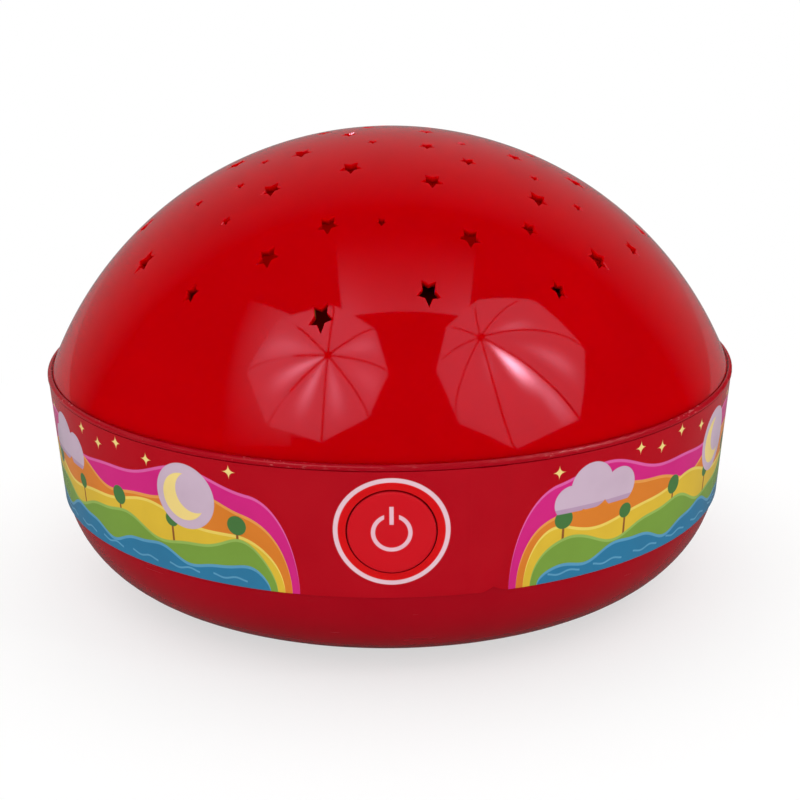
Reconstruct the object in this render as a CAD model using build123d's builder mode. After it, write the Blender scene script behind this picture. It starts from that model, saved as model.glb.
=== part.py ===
from build123d import *
import math
import os

# Star projector night light: a star-holed dome on a bowl-shaped battery base. Millimetres.
# +Z is up, the origin is on the table under the middle of the base, and the button faces -Y.

os.makedirs("parts", exist_ok=True)

# Clearances
seam_gap = 0.2
fit_gap = 0.25
slide_gap = 0.3
pin_gap = 0.08
thread_gap = 0.05
overrun = 1.0

# Base bowl
rim_diameter = 170.0
base_height = 51.6
wall = 2.2
floor_thickness = 3.0
wall_taper_degrees = 4.6
bottom_round = 26.6
lip_overhang = 0.5
lip_height = 1.2
lip_width = 0.9
lip_round = 0.7
lip_edge_round = 0.2
seat_depth = 0.3

# Feet
foot_diameter = 10.0
foot_height = 1.2
foot_recess = 0.8
foot_round = 0.5
foot_seat_rise = 0.4
foot_seat_margin = 1.2
foot_door_margin = 6.5
foot_names = ["foot_right", "foot_back", "foot_left", "foot_front"]

# Star dome
dome_rise = 57.2
dome_wall = 1.6
spigot_depth = 3.5
lug_count = 4
lug_diameter = 8.0
lug_height = 8.0
lug_reach = 6.0

# Star holes: compass angle from the front and angle down from the crown, in degrees
star_points = 5
star_waist_share = 0.5
star_spacing_degrees = 6.5
large_star_radius = 2.6
medium_star_radius = 1.9
small_star_radius = 1.2
large_star_degrees = [
    (-87, 41), (-90, 24), (-45, 25), (-61, 15), (-19, 17), (18, 21), (-17, 31), (109, 25), (52, 29),
    (85, 30), (99, 38), (21, 34), (52, 42), (-65, 44), (-29, 38), (-13, 47), (8, 43),
]
medium_star_degrees = [
    (-114, 11), (-150, 6), (-174, 8), (99, 6), (144, 11), (36, 10), (124, 16), (45, 17), (78, 20),
    (39, 34), (86, 43), (68, 43), (-43, 46), (36, 45),
]
small_star_degrees = [
    (-69, 32), (-49, 33), (-61, 26), (-72, 20), (-19, 7), (-2, 30), (69, 12), (97, 23), (64, 25), (64, 33),
]

# Wrap label
label_height = 29.8
label_thickness = 0.25
label_drop = 0.2
label_seam_degrees = 17.0
label_seam_gap = 0.5
glue_gap = 0.05

# Push button and its switch
button_diameter = 19.2
button_drop = 14.2
button_raise = 0.45
button_film_thickness = 0.2
button_film_margin = 0.15
button_travel = 1.0
button_ear_length = 2.0
button_ear_height = 8.0
button_ear_thickness = 1.4
button_stem_diameter = 5.0
switch_width = 10.0
switch_depth = 5.0
plunger_diameter = 3.5
plunger_reach = 2.0
plunger_inside = 2.0

# Control board and what it carries
board_width = 42.0
board_height = 22.0
board_thickness = 1.6
board_setback = 15.0
guide_width = 4.0
guide_depth = 2.0
guide_margin = 2.0
chip_width = 9.0
chip_height = 6.0
chip_thickness = 1.6
chip_offset = 2.0
capacitor_diameter = 6.3
capacitor_length = 7.7
capacitor_offset = -14.0
resistor_count = 4
resistor_length = 3.2
resistor_width = 1.6
resistor_thickness = 0.6
resistor_pitch = 3.6
resistor_offset = -2.0
socket_width = 8.0
socket_height = 6.0
socket_depth = 6.0
battery_socket_offset = 14.0
led_socket_offset = -14.0
board_edge_margin = 4.5

# Deck plate over the base
deck_thickness = 2.0
deck_boss_diameter = 8.0
deck_boss_length = 9.0
cable_hole_diameter = 10.0

# Lamp tower
tower_diameter = 26.0
tower_wall = 2.0
tower_height = 12.0
tower_flange_diameter = 46.0
tower_flange_thickness = 2.0
tower_screw_circle = 36.0
tower_screw_count = 2
tower_boss_diameter = 6.5
tower_boss_length = 5.0
lamp_board_thickness = 1.6
lamp_board_screw_circle = 20.0
lamp_screw_count = 2
led_names = ["led_red", "led_green", "led_blue"]
led_diameter = 5.0
led_height = 8.6
led_flange_diameter = 5.8
led_flange_height = 1.0
led_circle = 8.4

# Casing posts and screws
post_count = 4
post_diameter = 9.6
post_door_margin = 4.6
post_cap = 5.0
casing_screw_diameter = 3.0
casing_screw_bite = 7.0
casing_head_diameter = 5.6
casing_head_height = 1.9
small_screw_diameter = 2.3
small_screw_bite = 5.0
small_head_diameter = 4.2
small_head_height = 1.5
cross_width_share = 0.16
cross_length_share = 0.62
cross_depth_share = 0.55

# Cells and their contacts
cell_count = 3
cell_diameter = 14.2
cell_length = 50.2
cell_nub_diameter = 5.5
cell_nub_length = 1.2
cell_round = 0.6
cell_pitch = 15.0
cell_side_gap = 0.9
contact_thickness = 0.4
contact_height = 9.0
contact_margin = 4.5
spring_length = 6.0
spring_diameter = 6.4
spring_wire = 0.6
spring_turns = 4
tag_width = 4.0
tag_height = 3.0

# Battery bay and door
bay_wall = 2.0
door_thickness = 2.6
door_lift = 0.2
door_ledge = 2.0
hinge_setback = 1.5
peg_diameter = 1.6
peg_length = 2.2
frame_margin = 4.5
frame_thickness = 2.2
ear_reach = 5.5
ear_diameter = 10.0
door_screw_diameter = 2.9
door_screw_length = 6.0
door_screw_sink = 0.2
door_screw_room = 0.6
screw_boss_wall = 2.4

# Leads
lead_diameter = 1.4
lead_rise = 11.0
lead_run = 12.0
lead_pitch = 2.6
cable_diameter = 2.8
cable_dip = 6.0
arc_share = 0.45

# Heights and radii worked out from the sizes above
taper = math.radians(wall_taper_degrees)
under_z = foot_height
floor_z = under_z + floor_thickness
lip_z = under_z + base_height
lip_top_z = lip_z + lip_height
seat_z = lip_top_z - seat_depth
crown_z = lip_z + dome_rise
rim_radius = rim_diameter / 2
wall_top_radius = rim_radius - lip_overhang
lip_inner_radius = rim_radius - lip_width


def wall_radius(z):
    """Outer radius of the tapered base wall at height z."""
    return wall_top_radius - (lip_z - z) * math.tan(taper)


def inner_radius(z):
    """Inner radius of the tapered base wall at height z."""
    return wall_radius(z) - wall / math.cos(taper)


def front_plane(y):
    """Upright plane that faces the front, -Y, at the given y."""
    return Plane.XZ.offset(-y)


def keep(builder, name):
    """Labels a finished piece and writes it to its own STEP file."""
    builder.part.label = name
    export_step(builder.part, f"parts/{name}.step")


arc_z = under_z + bottom_round
tangent_z = arc_z - bottom_round * math.sin(taper)
flat_radius = wall_radius(tangent_z) - bottom_round * math.cos(taper)
inner_round = bottom_round - wall
floor_radius = flat_radius + math.sqrt(inner_round**2 - (bottom_round - floor_thickness) ** 2)
floor_arc_start = math.degrees(math.atan2(floor_z - arc_z, floor_radius - flat_radius))
floor_arc_size = -wall_taper_degrees - floor_arc_start

spigot_z = seat_z - spigot_depth
spigot_radius = inner_radius(spigot_z) - fit_gap
spigot_inner_radius = spigot_radius - dome_wall
dome_foot_radius = lip_inner_radius - seam_gap
sphere_rise = crown_z - seat_z
sphere_radius = (sphere_rise**2 + dome_foot_radius**2) / (2 * sphere_rise)
sphere_z = crown_z - sphere_radius
inner_sphere_radius = sphere_radius - dome_wall
spigot_top_z = sphere_z + math.sqrt(inner_sphere_radius**2 - spigot_inner_radius**2)

deck_top_z = spigot_z
deck_under_z = deck_top_z - deck_thickness
deck_radius = inner_radius(deck_under_z) - fit_gap
lug_circle_radius = spigot_inner_radius - lug_reach

bay_length = cell_length + spring_length + 2 * (contact_thickness + slide_gap)
bay_width = (cell_count - 1) * cell_pitch + cell_diameter + 2 * cell_side_gap
cell_z = under_z + door_thickness + slide_gap + cell_diameter / 2
contact_x = (bay_length - contact_thickness) / 2
outer_cell_y = cell_pitch * (cell_count - 1) / 2
ledge_z = under_z + door_thickness + door_lift
ceiling_z = cell_z + cell_diameter / 2 + cell_side_gap
bay_top_z = ceiling_z + bay_wall
tag_top_z = bay_top_z + tag_height
frame_top_z = ledge_z + frame_thickness

door_length = bay_length + 2 * door_ledge
door_front_y = -(bay_width / 2 + door_ledge)
hinge_y = bay_width / 2 + door_ledge + hinge_setback
hinge_z = under_z + door_thickness / 2
ear_y = door_front_y - ear_reach
door_screw_seat_z = under_z + casing_head_height + door_screw_sink
door_screw_tip_z = door_screw_seat_z + door_screw_length
door_screw_hole_z = door_screw_tip_z + overrun

post_radius = post_diameter / 2
post_circle_radius = math.hypot(door_length / 2, hinge_y) + post_door_margin + post_radius
post_top_z = deck_under_z - deck_boss_length
post_seat_z = post_top_z - post_cap
foot_seat_z = under_z - foot_seat_rise
foot_circle_radius = ear_diameter / 2 - ear_y + foot_door_margin + foot_diameter / 2

button_z = lip_z - button_drop
button_wall_radius = inner_radius(button_z)
board_front_y = board_setback - button_wall_radius
board_rear_y = board_front_y + board_thickness
board_top_z = deck_under_z - fit_gap
board_bottom_z = board_top_z - board_height
switch_front_y = board_front_y - switch_depth
plunger_tip_y = switch_front_y - plunger_reach
socket_rear_y = board_rear_y + socket_depth
lower_row_z = board_bottom_z + board_edge_margin
upper_row_z = board_top_z - board_edge_margin

tower_base_z = deck_top_z + tower_flange_thickness
tower_top_z = deck_top_z + tower_height
lamp_board_top_z = tower_top_z + lamp_board_thickness


def around(radius, count, start=0):
    """Evenly spaced points on a circle, the first one at the start angle in degrees."""
    return [Vector(radius, 0).rotate(Axis.Z, start + 360 * place / count) for place in range(count)]


post_places = around(post_circle_radius, post_count, 180 / post_count)
foot_places = around(foot_circle_radius, len(foot_names))
lug_places = around(lug_circle_radius, lug_count)
tower_screw_places = around(tower_screw_circle / 2, tower_screw_count)
lamp_screw_places = around(lamp_board_screw_circle / 2, lamp_screw_count)
led_places = around(led_circle / 2, len(led_names), 90)


def conical_band(inner_shift, outer_shift, low_z, high_z):
    """Outline between two copies of the base wall's slope, each moved outwards by its shift."""
    return [
        (wall_radius(low_z) + inner_shift, low_z),
        (wall_radius(low_z) + outer_shift, low_z),
        (wall_radius(high_z) + outer_shift, high_z),
        (wall_radius(high_z) + inner_shift, high_z),
    ]


# The bowl as if it were solid, which trims the fittings to its inside
with BuildPart() as bowl_envelope:
    with BuildSketch(Plane.XZ):
        with BuildLine():
            Line((0, under_z), (flat_radius, under_z))
            CenterArc((flat_radius, arc_z), bottom_round, -90, 90 - wall_taper_degrees)
            Polyline(
                (wall_radius(tangent_z), tangent_z),
                (wall_top_radius, lip_z),
                (0, lip_z),
                (0, under_z),
            )
        make_face()
    revolve(axis=Axis.Z)

# Fittings moulded inside the bowl: casing posts, battery bay, door screw boss and board guides
guide_top_z = deck_under_z - fit_gap
guide_inner_y = board_rear_y + guide_margin
guide_length = rim_radius + guide_inner_y
guide_x = board_width / 2 - guide_depth + guide_width / 2
frame_length = door_length + 2 * frame_margin
frame_back_y = hinge_y + door_thickness / 2 + frame_margin
frame_front_y = door_front_y - frame_margin
screw_boss_radius = ear_diameter / 2 + screw_boss_wall
with BuildPart() as bowl_fittings:
    with BuildSketch(Plane.XY.offset(under_z)):
        with Locations(*post_places):
            Circle(post_radius)
    extrude(amount=post_top_z - under_z)
    with BuildSketch(Plane.XY.offset(under_z)):
        with Locations((0, (frame_front_y + frame_back_y) / 2)):
            Rectangle(frame_length, frame_back_y - frame_front_y)
    extrude(amount=frame_top_z - under_z)
    with BuildSketch(Plane.XY.offset(under_z)):
        Rectangle(bay_length + 2 * bay_wall, bay_width + 2 * bay_wall)
    extrude(amount=bay_top_z - under_z)
    with BuildSketch(Plane.XY.offset(under_z)):
        with Locations((0, ear_y)):
            Circle(screw_boss_radius)
    extrude(amount=door_screw_hole_z + screw_boss_wall - under_z)
    with BuildSketch(Plane.XY.offset(under_z)):
        with Locations((-guide_x, guide_inner_y), (guide_x, guide_inner_y)):
            Rectangle(guide_width, guide_length, align=(Align.CENTER, Align.MAX))
    extrude(amount=guide_top_z - under_z)
    add(bowl_envelope.part, mode=Mode.INTERSECT)

# Base bowl
with BuildPart() as base_bowl:
    with BuildSketch(Plane.XZ) as bowl_section:
        with BuildLine():
            Line((0, under_z), (flat_radius, under_z))
            CenterArc((flat_radius, arc_z), bottom_round, -90, 90 - wall_taper_degrees)
            Polyline(
                (wall_radius(tangent_z), tangent_z),
                (wall_top_radius, lip_z),
                (rim_radius, lip_z),
                (rim_radius, lip_top_z),
                (0, lip_top_z),
                (0, under_z),
            )
        make_face()
        fillet(bowl_section.vertices().group_by(Axis.X)[-1].sort_by(Axis.Y)[-1], lip_round)
        fillet(bowl_section.vertices().group_by(Axis.X)[-1].sort_by(Axis.Y)[0], lip_edge_round)
    revolve(axis=Axis.Z)
    with BuildSketch(Plane.XZ):
        with BuildLine():
            Line((0, floor_z), (floor_radius, floor_z))
            CenterArc((flat_radius, arc_z), inner_round, floor_arc_start, floor_arc_size)
            Polyline(
                (flat_radius + inner_round * math.cos(taper), arc_z - inner_round * math.sin(taper)),
                (inner_radius(seat_z), seat_z),
                (lip_inner_radius, seat_z),
                (lip_inner_radius, lip_top_z + overrun),
                (0, lip_top_z + overrun),
                (0, floor_z),
            )
        make_face()
    revolve(axis=Axis.Z, mode=Mode.SUBTRACT)
    add(bowl_fittings.part)
    # Seats for the feet, a little proud of the underside
    with BuildSketch(Plane.XY.offset(foot_seat_z)):
        with Locations(*foot_places):
            Circle(foot_diameter / 2 + foot_seat_margin)
    extrude(amount=floor_z - foot_seat_z)
    # Cell space, and the recess for the door with its screw ear
    with BuildSketch(Plane.XY.offset(ledge_z)):
        Rectangle(bay_length, bay_width)
    extrude(amount=ceiling_z - ledge_z, mode=Mode.SUBTRACT)
    with BuildSketch(Plane.XY.offset(ledge_z)):
        with Locations((0, door_front_y - slide_gap)):
            Rectangle(
                door_length + 2 * slide_gap,
                hinge_y + door_thickness / 2 - door_front_y + 2 * slide_gap,
                align=(Align.CENTER, Align.MIN),
            )
        with Locations((0, ear_y)):
            Circle(ear_diameter / 2 + slide_gap)
            Rectangle(ear_diameter + 2 * slide_gap, ear_reach, align=(Align.CENTER, Align.MIN))
    extrude(amount=under_z - overrun - ledge_z, mode=Mode.SUBTRACT)
    with BuildSketch(Plane.XY.offset(ledge_z)):
        with Locations((0, ear_y)):
            Circle(door_screw_diameter / 2 + door_screw_room)
    extrude(amount=door_screw_hole_z - ledge_z, mode=Mode.SUBTRACT)
    # Sockets for the door's hinge pegs
    with BuildSketch(Plane.YZ):
        with Locations((hinge_y, hinge_z)):
            Circle(peg_diameter / 2 + pin_gap)
    extrude(amount=door_length / 2 + peg_length + slide_gap, both=True, mode=Mode.SUBTRACT)
    # Slots for the solder tags
    with BuildSketch(Plane.XY.offset(ceiling_z)):
        with Locations((contact_x, outer_cell_y), (-contact_x, -outer_cell_y)):
            Rectangle(contact_thickness + 2 * fit_gap, tag_width + 2 * fit_gap)
    extrude(amount=bay_wall, mode=Mode.SUBTRACT)
    # Casing screw holes, foot recesses, button hole and board slots
    with BuildSketch(Plane.XY.offset(post_seat_z)):
        with Locations(*post_places):
            Circle(casing_head_diameter / 2 + slide_gap)
    extrude(amount=under_z - overrun - post_seat_z, mode=Mode.SUBTRACT)
    with BuildSketch(Plane.XY.offset(post_seat_z)):
        with Locations(*post_places):
            Circle(casing_screw_diameter / 2 + fit_gap)
    extrude(amount=post_cap, mode=Mode.SUBTRACT)
    with BuildSketch(Plane.XY.offset(under_z + foot_recess)):
        with Locations(*foot_places):
            Circle(foot_diameter / 2 + thread_gap)
    extrude(amount=-(foot_recess + foot_seat_rise), mode=Mode.SUBTRACT)
    with BuildSketch(front_plane(board_front_y)):
        with Locations((0, button_z)):
            Circle(button_diameter / 2 + slide_gap)
    extrude(amount=board_setback + wall + overrun, mode=Mode.SUBTRACT)
    with BuildSketch(Plane.XY.offset(board_bottom_z)):
        with Locations((0, (board_front_y + board_rear_y) / 2)):
            Rectangle(board_width + 2 * fit_gap, board_thickness + 2 * fit_gap)
    extrude(amount=board_height + overrun, mode=Mode.SUBTRACT)
keep(base_bowl, "base_bowl")

# Rubber feet
for foot_name, foot_place in zip(foot_names, foot_places):
    with BuildPart() as foot:
        with BuildSketch(Plane.XY):
            with Locations(foot_place):
                Circle(foot_diameter / 2)
        extrude(amount=foot_height + foot_recess)
        fillet(foot.edges().group_by(Axis.Z)[0], foot_round)
    keep(foot, foot_name)

# Star dome
lug_bite = small_screw_bite + overrun
with BuildPart() as dome_lugs:
    with BuildSketch(Plane.XY.offset(spigot_z)):
        with PolarLocations(lug_circle_radius, lug_count):
            Circle(lug_diameter / 2)
            Rectangle(lug_reach + dome_wall / 2, lug_diameter, align=(Align.MIN, Align.CENTER))
    extrude(amount=lug_height)
    with BuildSketch(Plane.XY.offset(spigot_z)):
        with PolarLocations(lug_circle_radius, lug_count):
            Circle(small_screw_diameter / 2 + thread_gap)
    extrude(amount=lug_bite, mode=Mode.SUBTRACT)


def star_normal(azimuth, polar):
    """Direction from the middle of the sphere to a star hole."""
    turn = math.radians(azimuth)
    tilt = math.radians(polar)
    return Vector(math.sin(tilt) * math.sin(turn), -math.sin(tilt) * math.cos(turn), math.cos(tilt))


def star_plane(normal):
    """Plane just outside the dome, square to a star's direction."""
    level = Vector(1, 0, 0) - normal * normal.X
    return Plane(Vector(0, 0, sphere_z) + normal * (sphere_radius + overrun), x_dir=level, z_dir=normal)


def star_outline(tip_radius, normal):
    """Corners on the star's plane of a star that is even from above, with one point to the front."""
    plane = star_plane(normal)
    corners = []
    for step in range(2 * star_points):
        reach = tip_radius if step % 2 == 0 else tip_radius * star_waist_share
        angle = math.radians(-90 + 180 * step / star_points)
        across = reach * math.cos(angle)
        along = reach * math.sin(angle)
        slope_drop = (normal.X * across + normal.Y * along) / normal.Z
        corners.append(plane.to_local_coords(plane.origin + Vector(across, along, -slope_drop)))
    return corners


# The back half repeats the front half, half a turn round, wherever no star stands already
star_sets = [
    (large_star_radius, large_star_degrees),
    (medium_star_radius, medium_star_degrees),
    (small_star_radius, small_star_degrees),
]
star_normals = {radius: [star_normal(*angles) for angles in places] for radius, places in star_sets}
taken_normals = [normal for normals in star_normals.values() for normal in normals]
for radius, places in star_sets:
    for azimuth, polar in places:
        normal = star_normal(azimuth + 180, polar)
        if all(normal.get_angle(taken) > star_spacing_degrees for taken in taken_normals):
            star_normals[radius].append(normal)
            taken_normals.append(normal)

with BuildPart() as star_dome:
    with BuildSketch(Plane.XZ):
        with BuildLine():
            outer_foot_angle = math.degrees(math.atan2(seat_z - sphere_z, dome_foot_radius))
            inner_foot_angle = math.degrees(math.atan2(spigot_top_z - sphere_z, spigot_inner_radius))
            CenterArc((0, sphere_z), sphere_radius, outer_foot_angle, 90 - outer_foot_angle)
            Line((0, crown_z), (0, crown_z - dome_wall))
            CenterArc((0, sphere_z), inner_sphere_radius, 90, inner_foot_angle - 90)
            Polyline(
                (spigot_inner_radius, spigot_top_z),
                (spigot_inner_radius, spigot_z),
                (spigot_radius, spigot_z),
                (spigot_radius, seat_z),
                (dome_foot_radius, seat_z),
            )
        make_face()
    revolve(axis=Axis.Z)
    add(dome_lugs.part)
    # Star holes, square to the wall
    for star_radius, normals in star_normals.items():
        for normal in normals:
            with BuildSketch(star_plane(normal)):
                Polygon(*star_outline(star_radius, normal), align=None)
    extrude(amount=-(dome_wall + 2 * overrun), mode=Mode.SUBTRACT)
keep(star_dome, "star_dome")

# Wrap label with its seam and its hole for the button
label_top_z = lip_z - label_drop
label_bottom_z = label_top_z - label_height
seam_arc_degrees = math.degrees(label_seam_gap / wall_top_radius)
with BuildPart() as wrap_label:
    with BuildSketch(Plane.XZ.rotated((0, 0, label_seam_degrees - 90))):
        outline = conical_band(glue_gap, glue_gap + label_thickness, label_bottom_z, label_top_z)
        Polygon(*outline, align=None)
    revolve(axis=Axis.Z, revolution_arc=360 - seam_arc_degrees)
    with BuildSketch(front_plane(board_front_y)):
        with Locations((0, button_z)):
            Circle(button_diameter / 2 + slide_gap)
    extrude(amount=rim_radius, mode=Mode.SUBTRACT)
keep(wrap_label, "wrap_label")

# Push button: a cap that follows the wall, two ears that keep it in, and a stem to the switch
button_face_shift = glue_gap + label_thickness + button_raise
cap_shift = button_face_shift - button_film_thickness
ear_shift = -wall / math.cos(taper) - slide_gap
cap_back_shift = ear_shift - button_ear_thickness
button_low_z = button_z - button_diameter / 2 - overrun
button_high_z = button_z + button_diameter / 2 + overrun
button_ear_span = button_diameter + 2 * button_ear_length
with BuildPart() as button_ears:
    with BuildSketch(Plane.XZ):
        Polygon(*conical_band(cap_back_shift, ear_shift, button_low_z, button_high_z), align=None)
    revolve(axis=Axis.Z)
    with BuildSketch(Plane.XZ):
        with Locations((0, button_z)):
            Rectangle(button_ear_span, button_ear_height)
    extrude(amount=rim_radius, mode=Mode.INTERSECT)
with BuildPart() as button_cap:
    with BuildSketch(Plane.XZ):
        Polygon(*conical_band(cap_back_shift, cap_shift, button_low_z, button_high_z), align=None)
    revolve(axis=Axis.Z)
    with BuildSketch(Plane.XZ):
        with Locations((0, button_z)):
            Circle(button_diameter / 2)
    extrude(amount=rim_radius, mode=Mode.INTERSECT)
    add(button_ears.part)
    with BuildSketch(front_plane(plunger_tip_y)):
        with Locations((0, button_z)):
            Circle(button_stem_diameter / 2)
    extrude(amount=button_wall_radius + plunger_tip_y)
keep(button_cap, "button_cap")

with BuildPart() as button_film:
    with BuildSketch(Plane.XZ):
        Polygon(*conical_band(cap_shift, button_face_shift, button_low_z, button_high_z), align=None)
    revolve(axis=Axis.Z)
    with BuildSketch(Plane.XZ):
        with Locations((0, button_z)):
            Circle(button_diameter / 2 - button_film_margin)
    extrude(amount=rim_radius, mode=Mode.INTERSECT)
keep(button_film, "button_film")

# Push switch: its housing on the board, and the plunger that the button's stem pushes
plunger_bore = plunger_inside + button_travel + slide_gap
with BuildPart() as switch_housing:
    with BuildSketch(front_plane(board_front_y)):
        with Locations((0, button_z)):
            Rectangle(switch_width, switch_width)
    extrude(amount=switch_depth)
    with BuildSketch(front_plane(switch_front_y)):
        with Locations((0, button_z)):
            Circle(plunger_diameter / 2 + pin_gap)
    extrude(amount=-plunger_bore, mode=Mode.SUBTRACT)
keep(switch_housing, "switch_housing")

with BuildPart() as switch_plunger:
    with BuildSketch(front_plane(plunger_tip_y)):
        with Locations((0, button_z)):
            Circle(plunger_diameter / 2)
    extrude(amount=-(plunger_reach + plunger_inside))
keep(switch_plunger, "switch_plunger")

# Control board, held in the guides, with its parts on the rear face
with BuildPart() as control_board:
    with BuildSketch(Plane.XY.offset(board_bottom_z)):
        with Locations((0, (board_front_y + board_rear_y) / 2)):
            Rectangle(board_width, board_thickness)
    extrude(amount=board_height)
keep(control_board, "control_board")

rear_plane = front_plane(board_rear_y)
with BuildPart() as control_chip:
    with BuildSketch(rear_plane):
        with Locations((chip_offset, upper_row_z)):
            Rectangle(chip_width, chip_height)
    extrude(amount=-chip_thickness)
keep(control_chip, "control_chip")

with BuildPart() as capacitor:
    with BuildSketch(rear_plane):
        with Locations((capacitor_offset, lower_row_z)):
            Circle(capacitor_diameter / 2)
    extrude(amount=-capacitor_length)
keep(capacitor, "capacitor")

with BuildPart() as resistors:
    with BuildSketch(rear_plane):
        with Locations((resistor_offset, lower_row_z)):
            with GridLocations(resistor_pitch, 0, resistor_count, 1):
                Rectangle(resistor_width, resistor_length)
    extrude(amount=-resistor_thickness)
keep(resistors, "resistors")

with BuildPart() as battery_socket:
    with BuildSketch(rear_plane):
        with Locations((battery_socket_offset, lower_row_z)):
            Rectangle(socket_width, socket_height)
    extrude(amount=-socket_depth)
keep(battery_socket, "battery_socket")

with BuildPart() as led_socket:
    with BuildSketch(rear_plane):
        with Locations((led_socket_offset, upper_row_z)):
            Rectangle(socket_width, socket_height)
    extrude(amount=-socket_depth)
keep(led_socket, "led_socket")

# Deck plate: closes the base, carries the lamp tower and takes the casing screws
with BuildPart() as deck_plate:
    with BuildSketch(Plane.XY.offset(deck_under_z)):
        Circle(deck_radius)
        Circle(cable_hole_diameter / 2, mode=Mode.SUBTRACT)
        with Locations(*lug_places):
            Circle(small_screw_diameter / 2 + fit_gap, mode=Mode.SUBTRACT)
    extrude(amount=deck_thickness)
    with BuildSketch(Plane.XY.offset(deck_under_z)):
        with Locations(*post_places):
            Circle(deck_boss_diameter / 2)
    extrude(amount=-deck_boss_length)
    with BuildSketch(Plane.XY.offset(deck_under_z)):
        with Locations(*tower_screw_places):
            Circle(tower_boss_diameter / 2)
    extrude(amount=-tower_boss_length)
    with BuildSketch(Plane.XY.offset(post_top_z)):
        with Locations(*post_places):
            Circle(casing_screw_diameter / 2 + thread_gap)
    extrude(amount=casing_screw_bite + overrun, mode=Mode.SUBTRACT)
    with BuildSketch(Plane.XY.offset(deck_top_z)):
        with Locations(*tower_screw_places):
            Circle(small_screw_diameter / 2 + thread_gap)
    extrude(amount=-(small_screw_bite + overrun), mode=Mode.SUBTRACT)
keep(deck_plate, "deck_plate")

# Lamp tower: a flanged cup that lifts the lamp board above the deck
with BuildPart() as lamp_tower:
    with BuildSketch(Plane.XY.offset(deck_top_z)):
        Circle(tower_flange_diameter / 2)
        with Locations(*tower_screw_places):
            Circle(small_screw_diameter / 2 + fit_gap, mode=Mode.SUBTRACT)
    extrude(amount=tower_flange_thickness)
    with BuildSketch(Plane.XY.offset(deck_top_z)):
        Circle(tower_diameter / 2)
    extrude(amount=tower_height)
    with BuildSketch(Plane.XY.offset(deck_top_z)):
        Circle(tower_diameter / 2 - tower_wall)
        with Locations(*lamp_screw_places):
            Circle(tower_boss_diameter / 2, mode=Mode.SUBTRACT)
    extrude(amount=tower_height - tower_wall, mode=Mode.SUBTRACT)
    with BuildSketch(Plane.XY.offset(tower_top_z)):
        Circle(cable_hole_diameter / 2)
    extrude(amount=-tower_wall, mode=Mode.SUBTRACT)
    with BuildSketch(Plane.XY.offset(tower_top_z)):
        with Locations(*lamp_screw_places):
            Circle(small_screw_diameter / 2 + thread_gap)
    extrude(amount=-(small_screw_bite + overrun), mode=Mode.SUBTRACT)
keep(lamp_tower, "lamp_tower")

with BuildPart() as lamp_board:
    with BuildSketch(Plane.XY.offset(tower_top_z)):
        Circle(tower_diameter / 2)
        with Locations(*lamp_screw_places):
            Circle(small_screw_diameter / 2 + fit_gap, mode=Mode.SUBTRACT)
    extrude(amount=lamp_board_thickness)
keep(lamp_board, "lamp_board")

# Lamps: one red, one green and one blue
led_radius = led_diameter / 2
led_side_height = led_height - led_radius
for led_name, led_place in zip(led_names, led_places):
    led_foot = Vector(led_place.X, led_place.Y, lamp_board_top_z)
    with BuildPart() as led:
        with BuildSketch(Plane(led_foot, x_dir=(1, 0, 0), z_dir=(0, -1, 0))):
            with BuildLine():
                Polyline(
                    (0, 0),
                    (led_flange_diameter / 2, 0),
                    (led_flange_diameter / 2, led_flange_height),
                    (led_radius, led_flange_height),
                    (led_radius, led_side_height),
                )
                CenterArc((0, led_side_height), led_radius, 0, 90)
                Line((0, led_height), (0, 0))
            make_face()
        revolve(axis=Axis(led_foot, (0, 0, 1)))
    keep(led, led_name)


def pan_screws(seat_plane, places, diameter, length, head_diameter, head_height):
    """Screws with cross recesses, their heads under a seat plane and their shanks along its normal."""
    with BuildPart() as screws:
        with BuildSketch(seat_plane):
            with Locations(*places):
                Circle(head_diameter / 2)
        extrude(amount=-head_height)
        with BuildSketch(seat_plane):
            with Locations(*places):
                Circle(diameter / 2)
        extrude(amount=length)
        with BuildSketch(seat_plane.offset(-head_height)):
            with Locations(*places):
                Rectangle(head_diameter * cross_length_share, head_diameter * cross_width_share)
                Rectangle(head_diameter * cross_width_share, head_diameter * cross_length_share)
        extrude(amount=head_height * cross_depth_share, mode=Mode.SUBTRACT)
    return screws


casing_screws = pan_screws(
    Plane.XY.offset(post_seat_z),
    post_places,
    casing_screw_diameter,
    post_cap + casing_screw_bite,
    casing_head_diameter,
    casing_head_height,
)
keep(casing_screws, "casing_screws")

deck_screws = pan_screws(
    Plane.XY.offset(deck_under_z),
    lug_places,
    small_screw_diameter,
    deck_thickness + small_screw_bite,
    small_head_diameter,
    small_head_height,
)
keep(deck_screws, "deck_screws")

tower_screws = pan_screws(
    Plane((0, 0, tower_base_z), x_dir=(1, 0, 0), z_dir=(0, 0, -1)),
    tower_screw_places,
    small_screw_diameter,
    tower_flange_thickness + small_screw_bite,
    small_head_diameter,
    small_head_height,
)
keep(tower_screws, "tower_screws")

lamp_board_screws = pan_screws(
    Plane((0, 0, lamp_board_top_z), x_dir=(1, 0, 0), z_dir=(0, 0, -1)),
    lamp_screw_places,
    small_screw_diameter,
    lamp_board_thickness + small_screw_bite,
    small_head_diameter,
    small_head_height,
)
keep(lamp_board_screws, "lamp_board_screws")

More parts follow.
